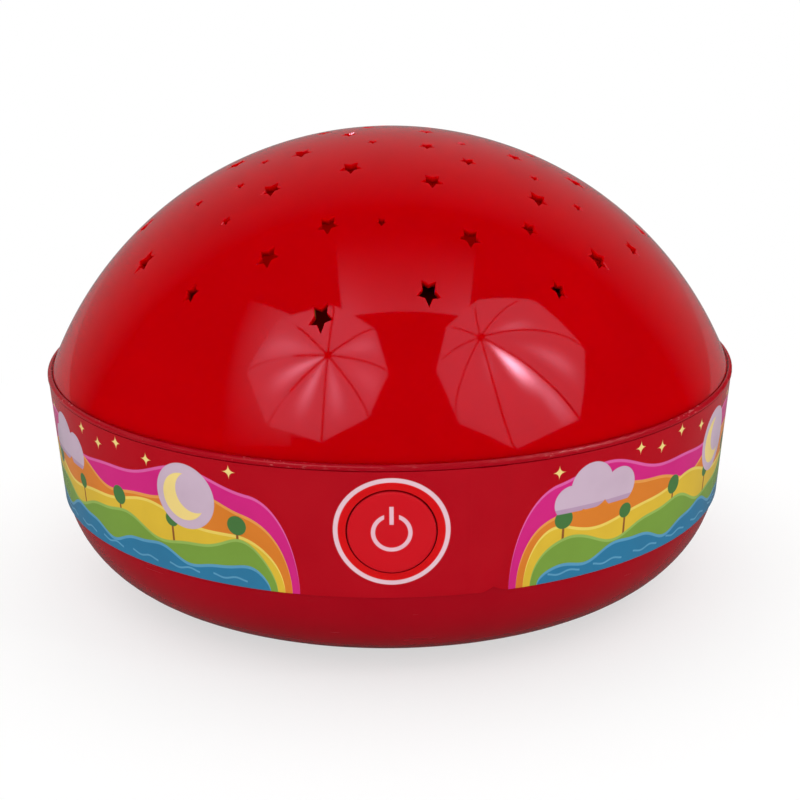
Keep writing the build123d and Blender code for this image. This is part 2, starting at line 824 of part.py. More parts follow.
# Battery door with a rounded hinge edge, two hinge pegs and a screw ear
with BuildPart() as battery_door:
    with BuildSketch(Plane.XY.offset(under_z)):
        with Locations((0, door_front_y)):
            Rectangle(door_length, hinge_y - door_front_y, align=(Align.CENTER, Align.MIN))
        with Locations((0, ear_y)):
            Circle(ear_diameter / 2)
            Rectangle(ear_diameter, ear_reach, align=(Align.CENTER, Align.MIN))
    extrude(amount=door_thickness)
    with BuildSketch(Plane.YZ):
        with Locations((hinge_y, hinge_z)):
            Circle(door_thickness / 2)
    extrude(amount=door_length / 2, both=True)
    with BuildSketch(Plane.YZ):
        with Locations((hinge_y, hinge_z)):
            Circle(peg_diameter / 2)
    extrude(amount=door_length / 2 + peg_length, both=True)
    with BuildSketch(Plane.XY.offset(under_z)):
        with Locations((0, ear_y)):
            Circle(casing_head_diameter / 2 + slide_gap)
    extrude(amount=door_screw_seat_z - under_z, mode=Mode.SUBTRACT)
    with BuildSketch(Plane.XY.offset(under_z)):
        with Locations((0, ear_y)):
            Circle(door_screw_diameter / 2 + pin_gap)
    extrude(amount=door_thickness, mode=Mode.SUBTRACT)
keep(battery_door, "battery_door")

door_screw = pan_screws(
    Plane.XY.offset(door_screw_seat_z),
    [(0, ear_y)],
    door_screw_diameter,
    door_screw_length,
    casing_head_diameter,
    casing_head_height,
)
keep(door_screw, "door_screw")

# Cells lie side by side, every second one turned round
cell_inner_x = bay_length / 2 - contact_thickness - slide_gap
for cell_number in range(cell_count):
    cell_y = (cell_number - (cell_count - 1) / 2) * cell_pitch
    cell_way = 1 if cell_number % 2 == 0 else -1
    nub_end = Vector(cell_way * cell_inner_x, cell_y, cell_z)
    with BuildPart() as cell:
        with BuildSketch(Plane(nub_end, x_dir=(0, 1, 0), z_dir=(-cell_way, 0, 0)).offset(cell_nub_length)):
            Circle(cell_diameter / 2)
        extrude(amount=cell_length - cell_nub_length)
        fillet(cell.edges().filter_by(GeomType.CIRCLE), cell_round)
        with BuildSketch(Plane(nub_end, x_dir=(0, 1, 0), z_dir=(-cell_way, 0, 0))):
            Circle(cell_nub_diameter / 2)
        extrude(amount=cell_nub_length)
    keep(cell, f"battery_cell_{cell_number + 1}")


def contact(side, first_y, last_y, spring_y, tag_y):
    """Contact plate on one end wall of the bay, with a coil spring, a solder tag or both."""
    with BuildPart() as piece:
        with BuildSketch(Plane.YZ.offset(side * bay_length / 2)):
            with Locations(((first_y + last_y) / 2, cell_z)):
                Rectangle(last_y - first_y + 2 * contact_margin, contact_height)
            if tag_y is not None:
                with Locations((tag_y, cell_z)):
                    Rectangle(tag_width, tag_top_z - cell_z, align=(Align.CENTER, Align.MIN))
        extrude(amount=-side * contact_thickness)
        if spring_y is not None:
            coil_start = bay_length / 2 - contact_thickness - thread_gap - spring_wire / 2
            coil_length = spring_length - spring_wire - thread_gap
            with BuildLine() as coil:
                Helix(
                    pitch=coil_length / spring_turns,
                    height=coil_length,
                    radius=(spring_diameter - spring_wire) / 2,
                    center=(side * coil_start, spring_y, cell_z),
                    direction=(-side, 0, 0),
                )
            with BuildSketch(Plane(coil.line @ 0, z_dir=coil.line % 0)):
                Circle(spring_wire / 2)
            sweep(path=coil.line, is_frenet=True)
    return piece


# The cells are in series: two outer contacts with solder tags, and a bridge at each end
contact_minus = contact(-1, -outer_cell_y, -outer_cell_y, -outer_cell_y, -outer_cell_y)
keep(contact_minus, "contact_minus")
contact_plus = contact(1, outer_cell_y, outer_cell_y, None, outer_cell_y)
keep(contact_plus, "contact_plus")
contact_bridge_right = contact(1, -outer_cell_y, 0, 0, None)
keep(contact_bridge_right, "contact_bridge_right")
contact_bridge_left = contact(-1, 0, outer_cell_y, outer_cell_y, None)
keep(contact_bridge_left, "contact_bridge_left")


def lead(route, diameter):
    """Round lead along straight runs joined by arcs as large as the runs allow."""
    radii = []
    for before, corner, after in zip(route, route[1:], route[2:]):
        turn = math.radians((corner - before).get_angle(after - corner))
        shorter = min((corner - before).length, (after - corner).length)
        radii.append(arc_share * shorter / math.tan(turn / 2))
    with BuildPart() as piece:
        with BuildLine() as path:
            FilletPolyline(*route, radius=radii)
        with BuildSketch(Plane(path.line @ 0, z_dir=path.line % 0)):
            Circle(diameter / 2)
        sweep(path=path.line)
    print("lead arc radii", [round(radius, 1) for radius in radii])
    return piece


# Leads from the solder tags to the control board, and the cable up to the lamp board
plus_tag = Vector(contact_x, outer_cell_y, tag_top_z)
minus_tag = Vector(-contact_x, -outer_cell_y, tag_top_z)
lead_ends = [
    ("battery_lead_red", plus_tag, lead_pitch / 2),
    ("battery_lead_black", minus_tag, -lead_pitch / 2),
]
for lead_name, tag_end, side_step in lead_ends:
    socket_end = Vector(battery_socket_offset + side_step, socket_rear_y, lower_row_z)
    lead_route = [
        tag_end,
        tag_end + Vector(0, 0, lead_rise),
        socket_end + Vector(0, lead_run, 0),
        socket_end,
    ]
    keep(lead(lead_route, lead_diameter), lead_name)

cable_start = Vector(led_socket_offset, socket_rear_y, upper_row_z)
cable_route = [
    cable_start,
    cable_start + Vector(0, lead_run, 0),
    Vector(0, 0, deck_under_z - cable_dip),
    Vector(0, 0, tower_top_z),
]
keep(lead(cable_route, cable_diameter), "led_cable")
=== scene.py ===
"""Star projector night light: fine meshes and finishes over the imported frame, in a plain studio.

Lengths are in metres. X runs to the right, Y to the back and Z up, and the push button faces -Y.
"""

import logging
import math
from collections.abc import Callable, Iterable
from dataclasses import dataclass, field
from enum import Enum

import bmesh
import bpy
from mathutils import Matrix, Quaternion, Vector


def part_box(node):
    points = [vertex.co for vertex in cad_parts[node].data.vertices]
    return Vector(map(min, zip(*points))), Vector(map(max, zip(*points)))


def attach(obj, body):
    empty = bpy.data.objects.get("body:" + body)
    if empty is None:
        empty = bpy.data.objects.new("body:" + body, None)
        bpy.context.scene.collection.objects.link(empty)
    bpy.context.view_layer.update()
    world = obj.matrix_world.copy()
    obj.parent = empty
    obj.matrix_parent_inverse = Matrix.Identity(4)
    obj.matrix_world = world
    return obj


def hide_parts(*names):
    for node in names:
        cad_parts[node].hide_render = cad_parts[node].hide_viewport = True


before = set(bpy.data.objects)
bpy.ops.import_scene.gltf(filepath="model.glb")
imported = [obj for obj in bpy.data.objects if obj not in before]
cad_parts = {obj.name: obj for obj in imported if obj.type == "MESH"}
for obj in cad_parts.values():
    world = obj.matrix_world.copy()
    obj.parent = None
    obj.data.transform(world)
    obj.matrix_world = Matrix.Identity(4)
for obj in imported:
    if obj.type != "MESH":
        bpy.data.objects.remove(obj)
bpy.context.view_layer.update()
log = logging.getLogger("night_light")

Colour = tuple[float, float, float]
Point = tuple[float, float]
Place = tuple[float, float, float]

PHOTO_WIDTH = 800
SENSOR_WIDTH = 36.0
WELD = 1e-7
FLAT_TO_SMOOTH = 0.9
FILM_GLOSS = 0.3
FILM_IOR = 1.48
FILM_ROUGHNESS = 0.17
INK_SWING = 0.10


class Body(Enum):
    """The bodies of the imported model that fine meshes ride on."""

    CASING = "casing"
    BUTTON = "button"


class StarSize(Enum):
    """Tip radius of each size of star hole."""

    LARGE = 0.0026
    MEDIUM = 0.0019
    SMALL = 0.0012


def srgb(red: int, green: int, blue: int) -> Colour:
    """Turns a screen colour into the linear colour that shaders use.

    Args:
        red: red from 0 to 255.
        green: green from 0 to 255.
        blue: blue from 0 to 255.

    Returns:
        The linear colour.
    """

    def linear(level: int) -> float:
        """One channel, from 0 to 1."""
        share = level / 255
        return share / 12.92 if share <= 0.04045 else ((share + 0.055) / 1.055) ** 2.4

    return linear(red), linear(green), linear(blue)


class Field:
    """A number that varies over a surface, for plain arithmetic on shader nodes."""

    def __init__(self, tree: bpy.types.NodeTree, socket: bpy.types.NodeSocket) -> None:
        """Keeps the tree and the socket that carries the number."""
        self.tree = tree
        self.socket = socket

    def math(self, operation: str, *values: "Field | float", clamp: bool = False) -> "Field":
        """Adds a Math node to the tree.

        Args:
            operation: what the node does.
            values: its inputs, in order.
            clamp: keeps the result between 0 and 1.

        Returns:
            The node's result.
        """
        node = self.tree.nodes.new("ShaderNodeMath")
        node.operation = operation
        node.use_clamp = clamp
        for socket, value in zip(node.inputs, values):
            if isinstance(value, Field):
                self.tree.links.new(value.socket, socket)
            else:
                socket.default_value = value
        return Field(self.tree, node.outputs[0])

    def __add__(self, other: "Field | float") -> "Field":
        """Sum."""
        return self.math("ADD", self, other)

    def __sub__(self, other: "Field | float") -> "Field":
        """Difference."""
        return self.math("SUBTRACT", self, other)

    def __mul__(self, other: "Field | float") -> "Field":
        """Product."""
        return self.math("MULTIPLY", self, other)

    def __abs__(self) -> "Field":
        """Size without sign."""
        return self.math("ABSOLUTE", self)

    def sine(self) -> "Field":
        """Sine of an angle in radians."""
        return self.math("SINE", self)

    def least(self, other: "Field | float") -> "Field":
        """The smaller of two."""
        return self.math("MINIMUM", self, other)

    def most(self, other: "Field | float") -> "Field":
        """The larger of two."""
        return self.math("MAXIMUM", self, other)

    def flipped(self) -> "Field":
        """One minus the number."""
        return self.math("SUBTRACT", 1.0, self)

    def tiled(self, pitch: float) -> "Field":
        """Place within its tile, measured from the middle of the tile."""
        return self.math("WRAP", self, pitch / 2, -pitch / 2)

    def odd_tile(self, pitch: float) -> "Field":
        """1 in every other tile and 0 in the rest."""
        number = self.math("FLOOR", self * (1 / pitch) + 0.5)
        return self.math("FLOORED_MODULO", number, 2.0)

    def rounded(self) -> "Field":
        """Turns a straight rise from 0 to 1 into a quarter of a round."""
        return self.math("SQRT", self * (self * -1.0 + 2.0))

    def under(self, edge: "Field | float", soft: float) -> "Field":
        """1 where the number is below an edge, 0 above it.

        Args:
            edge: where it changes.
            soft: half the width of the change.

        Returns:
            The mask.
        """
        return self.math("MULTIPLY_ADD", self.math("SUBTRACT", edge, self), 0.5 / soft, 0.5, clamp=True)

    def away(self, across: "Field", place: Point) -> "Field":
        """Distance from a place, with this number along and another across."""
        along_part = self - place[0]
        across_part = across - place[1]
        return self.math("SQRT", along_part * along_part + across_part * across_part)


class FinishSheet:
    """The node tree of one finish, from coordinates to the principled shader."""

    def __init__(self, name: str, **numbers: float | tuple[float, ...]) -> None:
        """Starts a material.

        Args:
            name: the material's name.
            numbers: uniform shader numbers and colours, named as the sockets with underscores for spaces.
        """
        self.material = bpy.data.materials.new(name)
        self.material.use_nodes = True
        self.tree = self.material.node_tree
        self.shader = self.tree.nodes["Principled BSDF"]
        for socket, number in numbers.items():
            self.shader.inputs[socket.replace("_", " ")].default_value = number
        self.coordinates = self.tree.nodes.new("ShaderNodeTexCoord")

    def split(self, vector: bpy.types.NodeSocket) -> tuple[Field, Field, Field]:
        """The three parts of a vector."""
        node = self.tree.nodes.new("ShaderNodeSeparateXYZ")
        self.tree.links.new(vector, node.inputs[0])
        return tuple(Field(self.tree, output) for output in node.outputs)

    def place(self) -> tuple[Field, Field, Field]:
        """X, Y and Z on the piece."""
        return self.split(self.coordinates.outputs["Object"])

    def noise(self, pitch: float, detail: float = 2.0, stretch: Place = (1, 1, 1)) -> Field:
        """Uneven tone over the piece.

        Args:
            pitch: the size of its spots.
            detail: how many finer levels it has.
            stretch: how much longer the spots are along each axis.

        Returns:
            A number around 0.5.
        """
        mapping = self.tree.nodes.new("ShaderNodeMapping")
        mapping.inputs["Scale"].default_value = [1 / share for share in stretch]
        texture = self.tree.nodes.new("ShaderNodeTexNoise")
        texture.inputs["Scale"].default_value = 1 / pitch
        texture.inputs["Detail"].default_value = detail
        self.tree.links.new(self.coordinates.outputs["Object"], mapping.inputs["Vector"])
        self.tree.links.new(mapping.outputs["Vector"], texture.inputs["Vector"])
        return Field(self.tree, texture.outputs[0])

    def paint(
        self, ground: Colour | bpy.types.NodeSocket, colour: Colour, mask: Field
    ) -> bpy.types.NodeSocket:
        """Lays a colour over a ground.

        Args:
            ground: the colour below.
            colour: the colour on top.
            mask: where it lies.

        Returns:
            The mixed colour.
        """
        node = self.tree.nodes.new("ShaderNodeMix")
        node.data_type = "RGBA"
        factor, below, above = node.inputs[0], node.inputs[6], node.inputs[7]
        self.tree.links.new(mask.socket, factor)
        if isinstance(ground, bpy.types.NodeSocket):
            self.tree.links.new(ground, below)
        else:
            below.default_value = (*ground, 1)
        above.default_value = (*colour, 1)
        return node.outputs[2]

    def colour(self, value: bpy.types.NodeSocket) -> None:
        """Links the base colour."""
        self.tree.links.new(value, self.shader.inputs["Base Color"])

    def roughness(self, value: Field) -> None:
        """Links the roughness."""
        self.tree.links.new(value.socket, self.shader.inputs["Roughness"])

    def relief(self, height: Field, depth: float) -> None:
        """Raises fine relief.

        Args:
            height: the relief from 0 to 1.
            depth: its full depth.
        """
        bump = self.tree.nodes.new("ShaderNodeBump")
        bump.inputs["Strength"].default_value = 1.0
        bump.inputs["Distance"].default_value = depth
        self.tree.links.new(height.socket, bump.inputs["Height"])
        self.tree.links.new(bump.outputs["Normal"], self.shader.inputs["Normal"])


@dataclass(frozen=True)
class MouldedPlastic:
    """Moulded plastic: an uneven skin with hairlines, grained below one height, and above another marked with
    pale scuffs that are partly wear and partly a painted highlight along the edge.
    """

    name: str
    colour: Colour
    roughness: float
    gloss: float = 0.5
    mottle: float = 0.09
    patch_pitch: float = 0.02
    patch_level: Point = (0.52, 0.25)
    patch_swing: float = 0.5
    wave_pitch: float = 0.009
    wave_depth: float = 2e-5
    hairline_pitch: float = 0.0006
    hairline_stretch: Place = (30, 30, 1)
    hairline_level: Point = (0.29, 0.03)
    hairline_share: float = 0.10
    grain_below: float | None = None
    grain_soft: float = 0.0004
    grain_pitch: float = 0.0004
    grain_depth: float = 3e-5
    grain_dullness: float = 0.3
    scuff_highlight_above: float | None = None
    scuff_highlight_soft: float = 0.0003
    scuff_highlight: Colour = srgb(224, 118, 118)
    rub_pitch: float = 0.012
    rub_level: Point = (0.46, 0.08)
    scuff_pitch: float = 0.0008
    scuff_stretch: Place = (2, 2, 0.6)
    scuff_level: Point = (0.36, 0.06)
    scuff_highlight_share: float = 0.4
    scuff_dullness: float = 0.25
    sheen: Colour = (1.0, 1.0, 1.0)
    translucency: float = 0.0
    light_depth: float = 0.006
    light_bleed: Colour = (1.0, 0.08, 0.04)

    def material(self) -> bpy.types.Material:
        """Makes the material."""
        sheet = FinishSheet(
            self.name,
            Specular_IOR_Level=self.gloss,
            Specular_Tint=(*self.sheen, 1.0),
            IOR=1.5,
            Subsurface_Weight=self.translucency,
            Subsurface_Scale=self.light_depth,
            Subsurface_Radius=self.light_bleed,
        )
        height = sheet.place()[2]
        uneven = sheet.noise(self.patch_pitch, detail=3.0)
        deeper = tuple(level * (1 - self.mottle) for level in self.colour)
        skin = sheet.paint(self.colour, deeper, uneven.under(*self.patch_level))
        hairlines = sheet.noise(self.hairline_pitch, detail=1.0, stretch=self.hairline_stretch)
        hairlines = hairlines.under(*self.hairline_level)
        swing = self.patch_swing * self.roughness
        polish = uneven * swing + hairlines * self.hairline_share + (self.roughness - swing / 2)
        waves = sheet.noise(self.wave_pitch, detail=1.0)
        # Pale scuffs on the edge above this height: partly real wear, partly a painted highlight line along
        # the lip.
        if self.scuff_highlight_above is not None:
            edge = height.under(self.scuff_highlight_above, self.scuff_highlight_soft).flipped()
            rub_highlight_patches = sheet.noise(self.rub_pitch, detail=1.0).under(*self.rub_level)
            marks = sheet.noise(self.scuff_pitch, detail=3.0, stretch=self.scuff_stretch)
            scuffs_and_highlight = edge * rub_highlight_patches * marks.under(*self.scuff_level)
            skin = sheet.paint(skin, self.scuff_highlight, scuffs_and_highlight * self.scuff_highlight_share)
            polish = polish + scuffs_and_highlight * self.scuff_dullness
        if self.grain_below is not None:
            grained = height.under(self.grain_below, self.grain_soft)
            grain = sheet.noise(self.grain_pitch, detail=1.0) * grained
            waves = waves + grain * (self.grain_depth / self.wave_depth)
            polish = polish + grained * self.grain_dullness
        sheet.colour(skin)
        sheet.roughness(polish)
        sheet.relief(waves, self.wave_depth)
        return sheet.material


@dataclass(frozen=True)
class BareMetal:
    """Plated metal with a fine drawn grain and dull patches."""

    name: str
    colour: Colour
    roughness: float
    grain_pitch: float = 0.0002
    grain_stretch: Place = (1, 1, 12)
    grain_depth: float = 1e-5
    patch_pitch: float = 0.004
    patch_level: Point = (0.45, 0.2)
    patch_swing: float = 0.2
    dull_share: float = 0.72

    def material(self) -> bpy.types.Material:
        """Makes the material."""
        sheet = FinishSheet(self.name, Metallic=1.0)
        grain = sheet.noise(self.grain_pitch, stretch=self.grain_stretch)
        patches = sheet.noise(self.patch_pitch, detail=3.0)
        dull = tuple(level * self.dull_share for level in self.colour)
        sheet.colour(sheet.paint(self.colour, dull, patches.under(*self.patch_level)))
        sheet.roughness(patches * self.patch_swing + (self.roughness - self.patch_swing / 2))
        sheet.relief(grain, self.grain_depth)
        return sheet.material


@dataclass(frozen=True)
class SolderMask:
    """Circuit board: lacquer over a grid of copper tracks, with tinned pads."""

    name: str
    colour: Colour
    track: Colour
    pad: Colour
    track_pitch: float = 0.0024
    track_width: float = 0.0005
    track_height: float = 0.00003
    pad_pitch: float = 0.0048
    pad_radius: float = 0.0006
    patch_pitch: float = 0.007
    along_level: Point = (0.48, 0.01)
    across_level: Point = (0.52, 0.01)
    roughness: float = 0.28
    soft: float = 0.00004

    def material(self) -> bpy.types.Material:
        """Makes the material."""
        sheet = FinishSheet(self.name, Roughness=self.roughness, Specular_IOR_Level=0.5)
        x, y, z = sheet.place()
        break_up = sheet.noise(self.patch_pitch, detail=0.0)
        along = abs((x + z).tiled(self.track_pitch)).under(self.track_width / 2, self.soft)
        across = abs((y + z).tiled(self.track_pitch)).under(self.track_width / 2, self.soft)
        across = across * break_up.under(*self.across_level).flipped()
        tracks = along * break_up.under(*self.along_level) + across
        pads = (x + z).tiled(self.pad_pitch).away((y + z).tiled(self.pad_pitch), (0, 0))
        inked = sheet.paint(self.colour, self.track, tracks)
        sheet.colour(sheet.paint(inked, self.pad, pads.under(self.pad_radius, self.soft)))
        sheet.relief(tracks, self.track_height)
        return sheet.material


@dataclass(frozen=True)
class TintedResin:
    """Lamp lens: tinted resin with a soft inner glow of its own colour."""

    name: str
    colour: Colour
    glow: float = 0.15
    roughness: float = 0.12
    clearness: float = 0.35
    cloud_pitch: float = 0.002
    cloud_level: Point = (0.5, 0.2)
    deep_share: float = 0.55

    def material(self) -> bpy.types.Material:
        """Makes the material."""
        sheet = FinishSheet(
            self.name,
            Roughness=self.roughness,
            Transmission_Weight=self.clearness,
            IOR=1.5,
            Emission_Strength=self.glow,
            Emission_Color=(*self.colour, 1.0),
        )
        cloud = sheet.noise(self.cloud_pitch)
        deep = tuple(level * self.deep_share for level in self.colour)
        sheet.colour(sheet.paint(self.colour, deep, cloud.under(*self.cloud_level)))
        return sheet.material


@dataclass(frozen=True)
class CellSleeve:
    """Dry cell: a printed film sleeve with a pale band near one end."""

    name: str
    colour: Colour
    band: Colour
    band_start: float
    band_end: float
    band_soft: float = 0.0002
    foil_pitch: float = 0.0006
    foil_stretch: Place = (14, 1, 1)
    foil_level: Point = (0.5, 0.15)
    foil_lift: float = 1.7
    foil_depth: float = 0.00001
    metal_share: float = 0.35
    roughness: float = 0.32

    def material(self) -> bpy.types.Material:
        """Makes the material."""
        sheet = FinishSheet(
            self.name, Metallic=self.metal_share, Roughness=self.roughness, Specular_IOR_Level=0.5
        )
        along = sheet.place()[0]
        foil = sheet.noise(self.foil_pitch, stretch=self.foil_stretch)
        lit = tuple(level * self.foil_lift for level in self.colour)
        ground = sheet.paint(self.colour, lit, foil.under(*self.foil_level))
        before_start = along.under(self.band_start, self.band_soft)
        banded = along.under(self.band_end, self.band_soft) * before_start.flipped()
        sheet.colour(sheet.paint(ground, self.band, banded))
        sheet.relief(foil, self.foil_depth)
        return sheet.material


@dataclass(frozen=True)
class SoftSkin:
    """Rubber feet and wire sheaths: a dull skin with a fine grain."""

    name: str
    colour: Colour
    roughness: float
    grain_pitch: float = 0.0005
    grain_depth: float = 4e-5
    grain_swing: float = 0.2
    dust_pitch: float = 0.006
    dust_level: Point = (0.42, 0.15)
    dust_lift: float = 1.5
    dust_tone: float = 0.01
    gloss: float = 0.4

    def material(self) -> bpy.types.Material:
        """Makes the material."""
        sheet = FinishSheet(self.name, Specular_IOR_Level=self.gloss)
        grain = sheet.noise(self.grain_pitch)
        dust = sheet.noise(self.dust_pitch, detail=3.0)
        pale = tuple(level * self.dust_lift + self.dust_tone for level in self.colour)
        sheet.colour(sheet.paint(self.colour, pale, dust.under(*self.dust_level)))
        sheet.roughness(grain * self.grain_swing + (self.roughness - self.grain_swing / 2))
        sheet.relief(grain, self.grain_depth)
        return sheet.material


@dataclass(frozen=True)
class Hill:
    """One row of rounded hills in the label's print."""

    colour: Colour
    crest: Colour
    foot: float
    swell: float
    pitch: float
    lead: float
    start: float


@dataclass(frozen=True)
class LabelPrint:
    """Printed label: rolling hills in five colours under a red sky, with clouds, moons, trees and stars."""

    name: str
    circumference: float
    span: float
    end: float
    height: float
    button_rise: float
    sky: Colour = srgb(173, 0, 20)
    cloud: Colour = srgb(196, 172, 190)
    cloud_shade: Colour = srgb(176, 146, 172)
    moon: Colour = srgb(234, 208, 128)
    crown: Colour = srgb(70, 116, 62)
    trunk: Colour = srgb(138, 84, 44)
    badge: Colour = srgb(208, 6, 12)
    ring: Colour = srgb(226, 190, 200)
    aged: Colour = (0.05, 0.0, 0.005)
    aged_share: float = 0.10
    ring_radius: float = 0.0121
    ring_line: float = 0.0010
    shoulder: float = 0.011
    motif_start: float = 0.030
    right_gap: float = 0.0056
    tiles: int = 11
    crest_line: float = 0.0007
    second_wave: float = 2.3
    second_share: float = 0.3
    tree_line: int = 3
    tree_pitch: float = 0.0173
    crown_radius: float = 0.0023
    crown_rise: float = 0.0148
    small_crown_less: float = 0.0005
    small_tree_drop: float = 0.0016
    trunk_half: float = 0.0003
    trunk_top: float = 0.0140
    ripple_pitch: float = 0.0062
    ripple_swing: float = 0.0003
    ripple_rise: float = 0.0018
    ripple_half: float = 0.00022
    ripple_length: float = 1.4
    star_reach: float = 0.042
    star_soft: float = 0.002
    cloud_rise: float = 0.0195
    cloud_base: float = 0.0034
    cloud_rim: float = 0.0011
    halo: Place = (0.0, 0.0196, 0.0078)
    moon_disc: Place = (-0.0004, 0.0194, 0.0056)
    moon_bite: Place = (0.0024, 0.0208, 0.0048)
    ink_pitch: float = 0.012
    ink_level: Point = (0.40, 0.2)
    fibre_pitch: float = 0.00025
    fibre_share: float = 0.05
    wave_pitch: float = 0.014
    wave_depth: float = 0.00003
    soft: float = 0.00008
    hills: tuple[Hill, ...] = (
        Hill(srgb(203, 34, 122), srgb(216, 92, 160), 0.0208, 0.0052, 0.061, 0.2, 0.0205),
        Hill(srgb(212, 122, 40), srgb(224, 150, 72), 0.0162, 0.0046, 0.047, 1.3, 0.0222),
        Hill(srgb(214, 178, 52), srgb(226, 200, 92), 0.0120, 0.0040, 0.055, 2.2, 0.0239),
        Hill(srgb(116, 152, 60), srgb(142, 174, 84), 0.0078, 0.0038, 0.038, 0.7, 0.0256),
        Hill(srgb(44, 116, 154), srgb(86, 150, 184), 0.0036, 0.0030, 0.029, 1.9, 0.0273),
    )
    puffs: tuple[Place, ...] = (
        (-0.0072, -0.0010, 0.0040),
        (-0.0016, 0.0020, 0.0056),
        (0.0062, 0.0002, 0.0046),
    )
    star_places: tuple[Point, ...] = (
        (-0.0205, 0.0278),
        (-0.0105, 0.0262),
        (0.0120, 0.0274),
        (0.0195, 0.0258),
    )

    def material(self) -> bpy.types.Material:
        """Makes the material."""
        sheet = FinishSheet(self.name, Specular_IOR_Level=FILM_GLOSS, IOR=FILM_IOR)
        u, v, _ = sheet.split(sheet.coordinates.outputs["UV"])
        along = u * self.span - (self.span - self.end)
        height = v * self.height
        colour = self.landscape(sheet, along, height)
        out = along.away(height, (0, self.button_rise))
        colour = sheet.paint(colour, self.badge, out.under(self.ring_radius, self.soft))
        ring = abs(out - self.ring_radius)
        colour = sheet.paint(colour, self.ring, ring.under(self.ring_line / 2, self.soft))
        fibre = sheet.noise(self.fibre_pitch, detail=1.0)
        ink = sheet.noise(self.ink_pitch, detail=3.0)
        sheet.colour(sheet.paint(colour, self.aged, ink.under(*self.ink_level) * self.aged_share))
        sheet.roughness(ink * INK_SWING + FILM_ROUGHNESS)
        waves = sheet.noise(self.wave_pitch, detail=1.0)
        sheet.relief(waves + fibre * self.fibre_share, self.wave_depth)
        return sheet.material

    def landscape(self, sheet: FinishSheet, along: Field, height: Field) -> bpy.types.NodeSocket:
        """Paints the hills, clouds, moons and stars.

        Args:
            sheet: the finish under construction.
            along: distance along the label from the middle of the badge.
            height: height above the label's lower edge.

        Returns:
            The painted colour.
        """
        beside = (along * -1.0).most(along - self.right_gap)
        from_badge = beside.least(abs(along + self.circumference) - self.right_gap)
        beyond = from_badge.under(self.motif_start, self.soft).flipped()
        tile = self.circumference / self.tiles
        tile_along = along.tiled(tile)
        odd = along.odd_tile(tile)
        stars = None
        for place in self.star_places:
            star = self.small_star(tile_along - place[0], height - place[1])
            stars = star if stars is None else stars.most(star)
        colour = sheet.paint(self.sky, self.moon, stars * beyond)
        for row, hill in enumerate(self.hills):
            if row == self.tree_line:
                colour = self.trees(sheet, colour, along, height, beyond)
            shoulder = from_badge.under(hill.start + self.shoulder / 2, self.shoulder / 2).flipped().rounded()
            turns = 2 * math.pi / hill.pitch
            wave = (along * turns + hill.lead).sine()
            ripple = (along * (turns * self.second_wave) + 2 * hill.lead).sine() * self.second_share
            top = ((wave + ripple) * (hill.swell / 2) + hill.foot + hill.swell / 2) * shoulder
            top = top - 2 * self.soft
            colour = sheet.paint(colour, hill.crest, height.under(top, self.soft))
            colour = sheet.paint(colour, hill.colour, (height + self.crest_line).under(top, self.soft))
        colour = sheet.paint(colour, self.hills[-1].crest, self.ripples(along, height) * beyond)
        halo = self.disc(tile_along, height, self.halo) * odd * beyond
        colour = sheet.paint(colour, self.cloud, halo)
        colour = sheet.paint(colour, self.moon, self.moon_mask(tile_along, height) * odd * beyond)
        even = odd.flipped() * beyond
        colour = sheet.paint(colour, self.cloud_shade, self.cloud_mask(tile_along, height, 0.0) * even)
        return sheet.paint(colour, self.cloud, self.cloud_mask(tile_along, height, self.cloud_rim) * even)

    def trees(
        self, sheet: FinishSheet, ground: bpy.types.NodeSocket, along: Field, height: Field, beyond: Field
    ) -> bpy.types.NodeSocket:
        """Paints a row of round trees behind the green hills.

        Args:
            sheet: the finish under construction.
            ground: the colour below.
            along: distance along the label from the middle of the badge.
            height: height above the label's lower edge.
            beyond: 1 away from the badge.

        Returns:
            The painted colour.
        """
        near = along.tiled(self.tree_pitch)
        small = along.odd_tile(self.tree_pitch)
        reach = small * -self.small_crown_less + self.crown_radius
        middle = height + small * self.small_tree_drop
        stem = abs(near).under(self.trunk_half, self.soft) * middle.under(self.trunk_top, self.soft)
        painted = sheet.paint(ground, self.trunk, stem * beyond)
        crown = near.away(middle, (0, self.crown_rise)).under(reach, self.soft)
        return sheet.paint(painted, self.crown, crown * beyond)

    def ripples(self, along: Field, height: Field) -> Field:
        """Short pale waves on the blue hills."""
        swing = (along * (2 * math.pi / self.ripple_pitch)).sine() * self.ripple_swing
        line = abs(height - swing - self.ripple_rise).under(self.ripple_half, self.soft)
        half = self.ripple_length * self.ripple_pitch / 2
        return line * abs(along.tiled(2 * self.ripple_pitch)).under(half, self.soft)

    def small_star(self, along: Field, height: Field) -> Field:
        """A small four-pointed sparkle."""
        bulge = along.math("SQRT", abs(along)) + height.math("SQRT", abs(height))
        return bulge.under(self.star_reach, self.star_soft)

    def cloud_mask(self, along: Field, height: Field, lift: float) -> Field:
        """A cloud of three puffs on a flat base.

        Args:
            along: distance from the cloud's middle.
            height: height above the label's lower edge.
            lift: how far its lower edge is raised.

        Returns:
            The mask.
        """
        mask = None
        for shift, rise, radius in self.puffs:
            puff = self.disc(along, height, (shift, self.cloud_rise + rise, radius))
            mask = puff if mask is None else mask.most(puff)
        flat = height.under(self.cloud_rise + lift - self.cloud_base, self.soft).flipped()
        return mask * flat

    def moon_mask(self, along: Field, height: Field) -> Field:
        """A crescent moon."""
        bite = self.disc(along, height, self.moon_bite)
        return self.disc(along, height, self.moon_disc) * bite.flipped()

    def disc(self, along: Field, height: Field, place: Place) -> Field:
        """A disc, by the place of its middle and its radius."""
        return along.away(height, place[:2]).under(place[2], self.soft)


